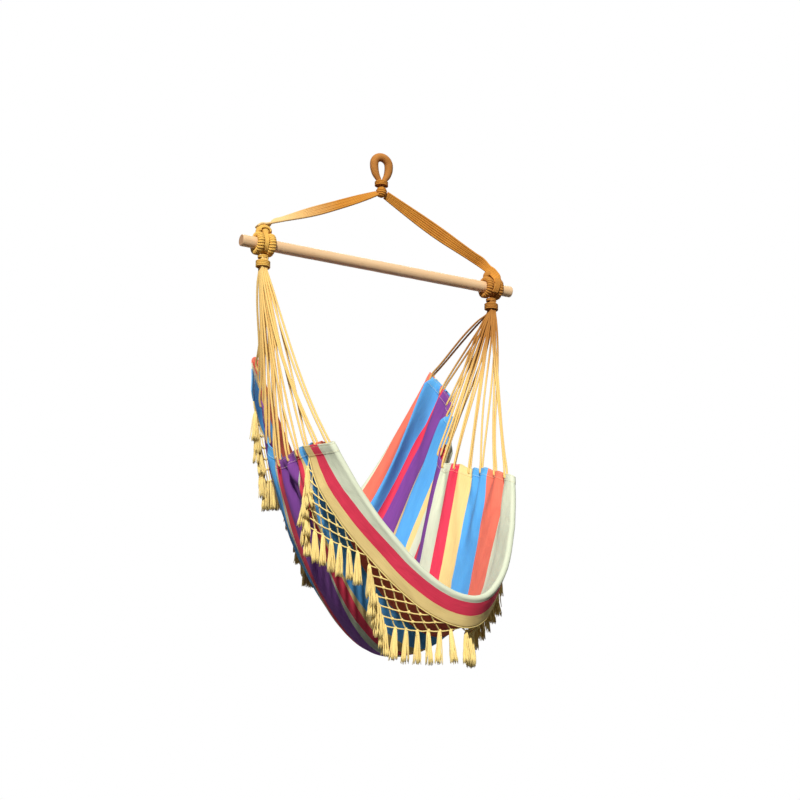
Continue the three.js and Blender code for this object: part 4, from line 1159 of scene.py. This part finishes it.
def clothColumns(lengths, places):
    # Closer columns near the hems, where the folds are
    even, crowding = np.linspace(-1, 1, sling["columns"]), sling["crowding"]
    spread = 0.5 + 0.5 * ((1 - crowding) * even + crowding * np.sin(even * np.pi / 2))
    inset = (sling["hemDepth"] - sling["underHem"]) / lengths
    return inset + (1 - 2 * inset) * spread


def makeCloth():
    points, uvs = slingGrid(bodyPlaces, clothColumns, flap["rows"])
    sheet = surfacePart(points, uvs)
    piece = makePiece("stripedCloth", "seat_cloth", "sling", ["cloth"], [sheet])
    wall = piece.modifiers.new("wall", "SOLIDIFY")
    wall.thickness = sling["wall"]
    wall.offset = 0
    return piece


bodyPlaces = np.linspace(0, 1, sling["rows"])
cloth = makeCloth()
print("cloth made")

# Hems: the cloth doubled over, a rolled edge, two rows of stitches on each face, and a whipped ring at each
# eyelet. Depths are measured from the edge.
hem = {
    "wall": 0.0040, "depths": (0.0, 0.0015, 0.004, 0.0065, 0.009, 0.014, 0.020, 0.026, 0.0305, 0.033, 0.035),
    "stitchRows": (0.0065, 0.0305), "stitch": 0.0046, "stitchGap": 0.0017, "stitchStart": 0.004,
    "stitchThread": 0.0011, "stitchOut": 0.1, "stitchHump": 0.7, "stitchSink": 0.35, "stitchEnd": 0.55,
    "pinch": 0.42, "pinchWidth": 0.0016, "pucker": 0.10, "puckerRate": 1.7, "roll": 0.0022,
    "thinFrom": 0.033, "thinRun": 0.004, "thinnest": 0.6, "lip": 0.0040, "lipDepth": 0.012, "eyelets": 12,
    "eyeletDrop": 0.020, "ring": 0.0046, "ringThread": 0.0016, "rows": 281, "flapRows": 24,
}
hemPlaces = np.linspace(0, 1, hem["rows"])


def hemSurface(side, depths):
    # The hem's middle surface at given depths below its edge, which is scalloped between the eyelets
    def columns(lengths, places):
        scallop = 0.5 - 0.5 * np.cos(2 * np.pi * hem["eyelets"] * places)
        inward = (depths + hem["lip"] * scallop * np.clip(1 - depths / hem["lipDepth"], 0, 1)) / lengths
        return inward if side < 0 else 1 - inward

    return slingGrid(hemPlaces, columns, hem["flapRows"])


def makeHem(side, word):
    depths = np.array(hem["depths"])
    points, uvs = hemSurface(side, depths)
    way = -side  # columns run inwards from the edge, so the two sides' grids face opposite ways
    ordered = points[:, ::way]
    normals = unit(np.cross(np.gradient(ordered, axis=1), np.gradient(ordered, axis=0)))[:, ::way]
    pinch = sum(np.exp(-(((depths - row) / hem["pinchWidth"]) ** 2)) for row in hem["stitchRows"])
    pucker = 1 + hem["pucker"] * np.sin(np.arange(len(points))[:, None] * hem["puckerRate"]) * pinch
    half = hem["wall"] / 2 * (1 - hem["pinch"] * pinch) * pucker
    half = half * np.clip(np.sqrt(depths / hem["roll"]), 0.0, 1)
    half = half * np.clip(1 - (depths - hem["thinFrom"]) / hem["thinRun"], hem["thinnest"], 1)
    outer, inner = points + normals * half[..., None], points - normals * half[..., None]
    section = np.concatenate([outer[:, ::-1], inner[:, 1:]], 1)
    sectionUvs = np.concatenate([uvs[:, ::-1], uvs[:, 1:]], 1)
    shell = surfacePart(section, sectionUvs, closeColumns=True, flip=side < 0)
    rows, columns = section.shape[:2]
    end = np.arange(columns)[None]
    shell["faces"] += [end[:, ::way], (end + (rows - 1) * columns)[:, ::-way]]
    shell["uvs"] += [sectionUvs[:1, ::way], sectionUvs[-1:, ::-way]]
    parts = [shell]
    for row in hem["stitchRows"]:
        k = int(np.argmin(np.abs(depths - row)))
        for face in (1, -1):
            out = face * normals[:, k]
            line = points[:, k] + out * (half[:, k] + hem["stitchThread"] * hem["stitchOut"])[:, None]
            parts.append(stitches(line, out))
    rings, spots = eyeletRings(side)
    parts.append(rings)
    makePiece(f"hem{word.title()}", f"hem_{word}", "sling", ["hem", "thread"], parts)
    return spots


def stitches(line, normals):
    # Short threads laid along a line: six stations each, sunk at both ends
    run = runs(line[None])[0]
    pitch = hem["stitch"] + hem["stitchGap"]
    starts = np.arange(hem["stitchStart"], run[-1] - pitch, pitch)
    share = np.linspace(0, 1, 6)
    stops = starts[:, None] + share * hem["stitch"]
    paths, out = (np.stack([np.interp(stops, run, row) for row in rows.T], -1) for rows in (line, normals))
    out, thread, hump = unit(out), hem["stitchThread"], np.sin(np.pi * share)
    paths = paths + out * (hump * thread * hem["stitchHump"] - thread * hem["stitchSink"])[:, None]
    radius = thread / 2 * (hem["stitchEnd"] + (1 - hem["stitchEnd"]) * hump) + 0 * stops
    return tubes(paths, out, radius, sides=6, lobes=2, lay=0.003, depth=0.1, finish=1)


def eyeletSpots(side):
    # Each eyelet's point on the hem's middle surface, the way up to the edge and the way out of the face
    places = (np.arange(hem["eyelets"]) + 0.5) / hem["eyelets"]
    lengths = rowLengths(places)

    def at(depth):
        share = depth / lengths if side < 0 else 1 - depth / lengths
        normals = wallNormals(places, share)
        points = wallPoints(places, share) + normals * foldHeights(places, share, lengths)[..., None]
        return points[:, 0], normals[:, 0]

    spot, out = at(hem["eyeletDrop"])
    return spot, unit(at(0.0)[0] - at(sling["hemDepth"])[0]), out


def eyeletRings(side):
    spot, up, out = eyeletSpots(side)
    along = unit(np.cross(up, out))
    up = np.cross(out, along)
    angle = circle(36)[None, :, None]
    loop = hem["ring"] * (np.cos(angle) * along[:, None] + np.sin(angle) * up[:, None])
    faces = out[:, None] * np.array([1, -1])[:, None, None, None]
    paths = spot[:, None] + faces * (hem["wall"] / 2) + loop
    refs = np.broadcast_to(faces, paths.shape).reshape(-1, 36, 3)
    paths = paths.reshape(-1, 36, 3)
    thread = hem["ringThread"]
    rings = tubes(paths, refs, thread / 2, sides=8, lobes=1, lay=thread, depth=0.2, closed=True, finish=1)
    return rings, (spot, up, out)


# Strings: each cord goes from the neck down one face of the hem, through its eyelet and back up the
# other. In the eyelet it turns on a bend, and its free part sways, bows out and is fuller than in the neck.
cords = {
    "step": 0.0030, "lay": 0.015, "seed": 3, "sway": 0.0045, "swayLength": 0.4, "bow": 0.030, "loft": 1.48,
    "loftRun": 0.03, "flare": {"left": 1.5, "right": 1.1}, "bend": (0.75, 0.0016, 0.0026), "touch": 0.006,
    "tuck": 0.001, "swayTurn": 5, "swayChange": 0.5, "bowPower": 0.8,
}


def makeLeg(side, word, row, column, spots, face, lipShare, chance):
    # One leg of a string: the neck's top and foot, the free part, the hem's lip and the eyelet
    eyelet, up, out, centre = spots
    x = side * (collar["span"] / 2 + ((neck["rows"] - 1) / 2 - row) * neck["spacing"])
    y = -column * neck["spacing"]
    head = np.array([x, y, blockBottom + cords["tuck"]])
    free = np.array([x, y, release])
    touch = eyelet + out * face * stringOffset
    lip = touch + up * (hem["eyeletDrop"] + neck["string"] * lipShare)
    share = np.linspace(0, 1, 9)[1:-1, None]
    sway = chance.uniform(-1, 1, 3) * cords["sway"] * np.linalg.norm(lip - free) / cords["swayLength"]
    wave = chance.uniform(0, 2 * np.pi)
    change = 1 + cords["swayChange"] * np.sin(cords["swayTurn"] * share + wave)
    span = free + (lip - free) * share + sway * np.sin(np.pi * share) * change
    aside = np.array([x - side * collar["span"] / 2, y, 0]) / bundleRadius
    span = span + aside * cords["bow"] * np.sin(np.pi * share) ** cords["bowPower"] * (1 - share)
    span = span + (centre - eyelet) * (1, 1, 0) * (share - share ** cords["flare"][word])
    return [head, (head + free) / 2, free, *span, lip, touch + up * cords["touch"]]


def makeStrings(side, word, spots):
    eyelets, ups, outs = spots
    chance = np.random.default_rng(cords["seed"] + side)
    radius, (wide, shallow, deep) = neck["string"] / 2, cords["bend"]
    for i in range(hem["eyelets"]):
        eyelet, up, out = eyelets[i], ups[i], outs[i]
        odd = i % 2
        mate = eyelets[i + 1 - 2 * odd]
        firstRow = 2 if abs(eyelet[0]) < abs(mate[0]) else 0
        column = i // 2 - (neck["columns"] - 1) / 2
        spot = (eyelet, up, out, eyelets.mean(0))
        legs = []
        for face in (1, -1):
            legs.append(makeLeg(side, word, firstRow + (face < 0), column, spot, face, 1 + 2 * odd, chance))
        aside = out * stringOffset * wide
        bend = [eyelet + aside - up * shallow, eyelet - up * deep, eyelet - aside - up * shallow]
        route = np.array([*legs[0], *bend, *legs[1][::-1]])
        paths = evenly(throughPoints(route[None], 14), cords["step"])
        refs = unit(np.cross(unit(legs[0][-2] - legs[0][2]), out))
        belowNeck = np.clip((release - paths[..., 2]) / cords["loftRun"], 0, 1)
        lofted = radius * (1 + (cords["loft"] - 1) * belowNeck)
        part = tubes(paths, refs, lofted, sides=12, lay=cords["lay"], depth=0.2)
        name, node = f"string{word.title()}{i + 1:02d}", f"string_{word}_{i + 1:02d}"
        makePiece(name, node, "sling", [f"string{word.title()}"], [part])


stringOffset = hem["wall"] / 2 + neck["clearance"] + neck["string"] / 2
release = blockBottom - 2 * neck["bindingDrop"] - bindingHeight
for side, word in ((-1, "left"), (1, "right")):
    makeStrings(side, word, makeHem(side, word))
print("hems and strings made")

# Fringe: along each folded edge a heading cord and a knotted diamond net in four pointed scallops, with a
# tassel at each knot of their lower sides. A net is measured in cells: x along the edge, y down from it.
fringe = {
    "scallops": 4, "cells": 7, "depth": 0.142, "stations": 193, "thread": 0.0042, "heading": 0.0046,
    "headingDrop": 0.02, "drop": 0.1, "inset": 0.0006, "seeds": {"front": 41, "back": 31}, "knot": 0.0046,
    "knotRange": (0.85, 1.15), "knotHeight": 1.15, "knotLift": 0.0006, "threadLift": 0.0004, "slack": 0.05,
    "sagRange": (0.01, 0.07),
}
tassel = {
    "length": 0.102, "lengthRange": (0.93, 1.0), "strandRange": (0.9, 1.0), "strands": 26, "strand": 0.0036,
    "headWidth": 0.0080, "endWidth": 0.0142, "flare": 0.8, "hollow": 0.02, "lean": 0.045, "waver": 0.0007,
    "twist": 0.5, "lift": 0.0008, "taper": (1, 1, 1, 1, 1, 1, 0.9, 0.45), "head": (0.0046, 0.0046, 0.0062),
    "headDrop": 0.004, "bindingTurns": 3.2, "bindingRadius": 0.0040, "bindingCord": 0.0016,
    "bindingDrop": 0.0105, "bindingPitch": 0.00022,
}


def edgeShares(lengths, places):
    # Even places along the sheet's own edge, from hem to hem, as shares of the row's whole length
    inset = (sling["hemDepth"] + fringe["inset"]) / lengths
    return inset + (1 - 2 * inset) * np.linspace(0, 1, fringe["stations"])


def netFrame(word):
    # The free edge, the wall's lean and the way out of the net, at even places from hem to hem
    points = slingGrid(bodyPlaces, edgeShares, flap["rows"])[0]
    edge = points[-1] if word == "front" else points[0]
    near, far = (leanRow(word, step) for step in (1, 2))
    lean = unit(far - near)
    lean[:, 2] -= fringe["drop"]
    lean = unit(lean)
    return edge, lean, unit(np.cross(unit(np.gradient(edge, axis=0)), lean))


def leanRow(word, step):
    # The wall's row some steps in from the fold, at the fringe's own places
    place = leanPlace(word, step)
    return wallPoints(place, edgeShares(rowLengths(place), place))[0]


def makeFringe(word):
    frame = netFrame(word)
    last, cells = fringe["stations"] - 1, fringe["cells"]
    cellDepth = fringe["depth"] / (cells / 2)
    for n in range(fringe["scallops"]):
        chance = np.random.default_rng(fringe["seeds"][word] + n)

        def spot(x, y, lift=0.0):
            k = np.clip((n + x / cells) * last / fringe["scallops"], 0, last)
            low = np.minimum(k.astype(int), last - 1)
            t = (k - low)[..., None]
            start, down, outward = (line[low] * (1 - t) + line[low + 1] * t for line in frame)
            return start + down * (y * cellDepth)[..., None] + outward * lift

        parts = [heading(spot, cells), *netThreads(spot, cells, chance), *tassels(spot, cells, chance)]
        makePiece(f"{word}Fringe{n + 1}", f"{word}_fringe_{n + 1}", "sling", ["fringe"], parts)


def outOfNet(spot, x, y):
    return unit(spot(x, y, lift=0.01) - spot(x, y))


def heading(spot, cells):
    x = np.linspace(0, cells, 140)
    path = spot(x, 0 * x + fringe["headingDrop"])
    return tubes([path], outOfNet(spot, x, 0 * x), fringe["heading"] / 2, sides=8, lay=0.012, depth=0.2)


def netThreads(spot, cells, chance):
    # Threads between neighbouring knots, in both slants. A knot is numbered by p, its x less its y, and by
    # q, their sum, and a thread keeps one of the two.
    ends = []
    for i in range(cells):
        for j in range(i, cells):
            ends += [((i, j), (i, j + 1)), ((i, j + 1), (i + 1, j + 1))]
    ends = np.array(ends)
    knots = np.unique(ends.reshape(-1, 2), axis=0)
    knots = knots[knots[:, 1] > knots[:, 0]]
    shifts = np.zeros((cells + 1, cells + 1, 2))
    shifts[knots[:, 0], knots[:, 1]] = chance.uniform(-fringe["slack"], fringe["slack"], (len(knots), 2))

    def netPlace(knot):
        # A knot's own place, x and y, moved by its shift
        p, q = knot[..., 0], knot[..., 1]
        return (p + q) / 2 + shifts[p, q, 0], np.maximum((q - p) / 2 + shifts[p, q, 1], 0)

    x, y = netPlace(ends)
    t = np.linspace(0, 1, 7)
    x, y = (ends[:, :1] + (ends[:, 1:] - ends[:, :1]) * t for ends in (x, y))
    sag = np.sin(np.pi * t) * chance.uniform(*fringe["sagRange"], (len(x), 1))
    refs = outOfNet(spot, x, y)
    paths = spot(x, y + sag, fringe["threadLift"])
    threads = tubes(paths, refs, fringe["thread"] / 2, sides=6, lobes=2, lay=0.008, depth=0.16)
    centres = spot(*netPlace(knots), fringe["knotLift"])
    size = fringe["knot"] * chance.uniform(*fringe["knotRange"], len(centres))[:, None]
    return [threads, ball(centres, size * (1, 1, fringe["knotHeight"]), rows=6, columns=8)]


def tassels(spot, cells, chance):
    # A tassel: a knot, a binding and a bunch of strands that flare and waver as they hang
    s = tassel
    k = np.arange(1, cells + 1)
    x = np.concatenate([k / 2, (cells + k[:-1]) / 2])
    y = np.concatenate([k / 2, (cells - k[:-1]) / 2])
    tops = spot(x, y, s["lift"])
    each = (len(tops), s["strands"], 1, 1)
    stations = len(s["taper"])
    lean = chance.normal(0, s["lean"], (len(tops), 1, 1, 2))
    t = np.linspace(0, 1, stations)[None, None, :, None]
    angle = chance.uniform(0, 2 * np.pi, each) + s["twist"] * t
    spread = np.sqrt(chance.uniform(s["hollow"], 1, each))
    radius = s["headWidth"] / 2 + (s["endWidth"] - s["headWidth"] / 2) * t ** s["flare"]
    out = np.concatenate([np.cos(angle), np.sin(angle)], -1) * spread * radius
    waver = chance.normal(0, s["waver"], (len(tops), s["strands"], stations, 2)) * t
    length = s["length"] * chance.uniform(*s["strandRange"], each)
    length = length * chance.uniform(*s["lengthRange"], (len(tops), 1, 1, 1))
    down = -s["headDrop"] - t * (length - s["headDrop"])
    paths = tops[:, None, None] + np.concatenate([out + waver + lean * t * s["length"], down], -1)
    paths = paths.reshape(-1, stations, 3)
    thick = s["strand"] / 2 * np.array(s["taper"]) + 0 * paths[..., 0]
    yarns = tubes(paths, (1, 0, 0), thick, sides=5, lobes=2, lay=0.011, depth=0.15)
    heads = ball(tops - (0, 0, s["headDrop"]), s["head"], 8, 12)
    turn = np.linspace(0, s["bindingTurns"] * 2 * np.pi, 50)
    refs = stacked(np.cos(turn), np.sin(turn), 0)
    wraps = refs * s["bindingRadius"] - stacked(0, 0, s["bindingDrop"] + turn * s["bindingPitch"])
    bindings = tubes(tops[:, None] + wraps, refs, s["bindingCord"] / 2, sides=5, lobes=2, lay=0.004)
    return [yarns, heads, bindings]


makeFringe("front")
makeFringe("back")
print("fringe made")
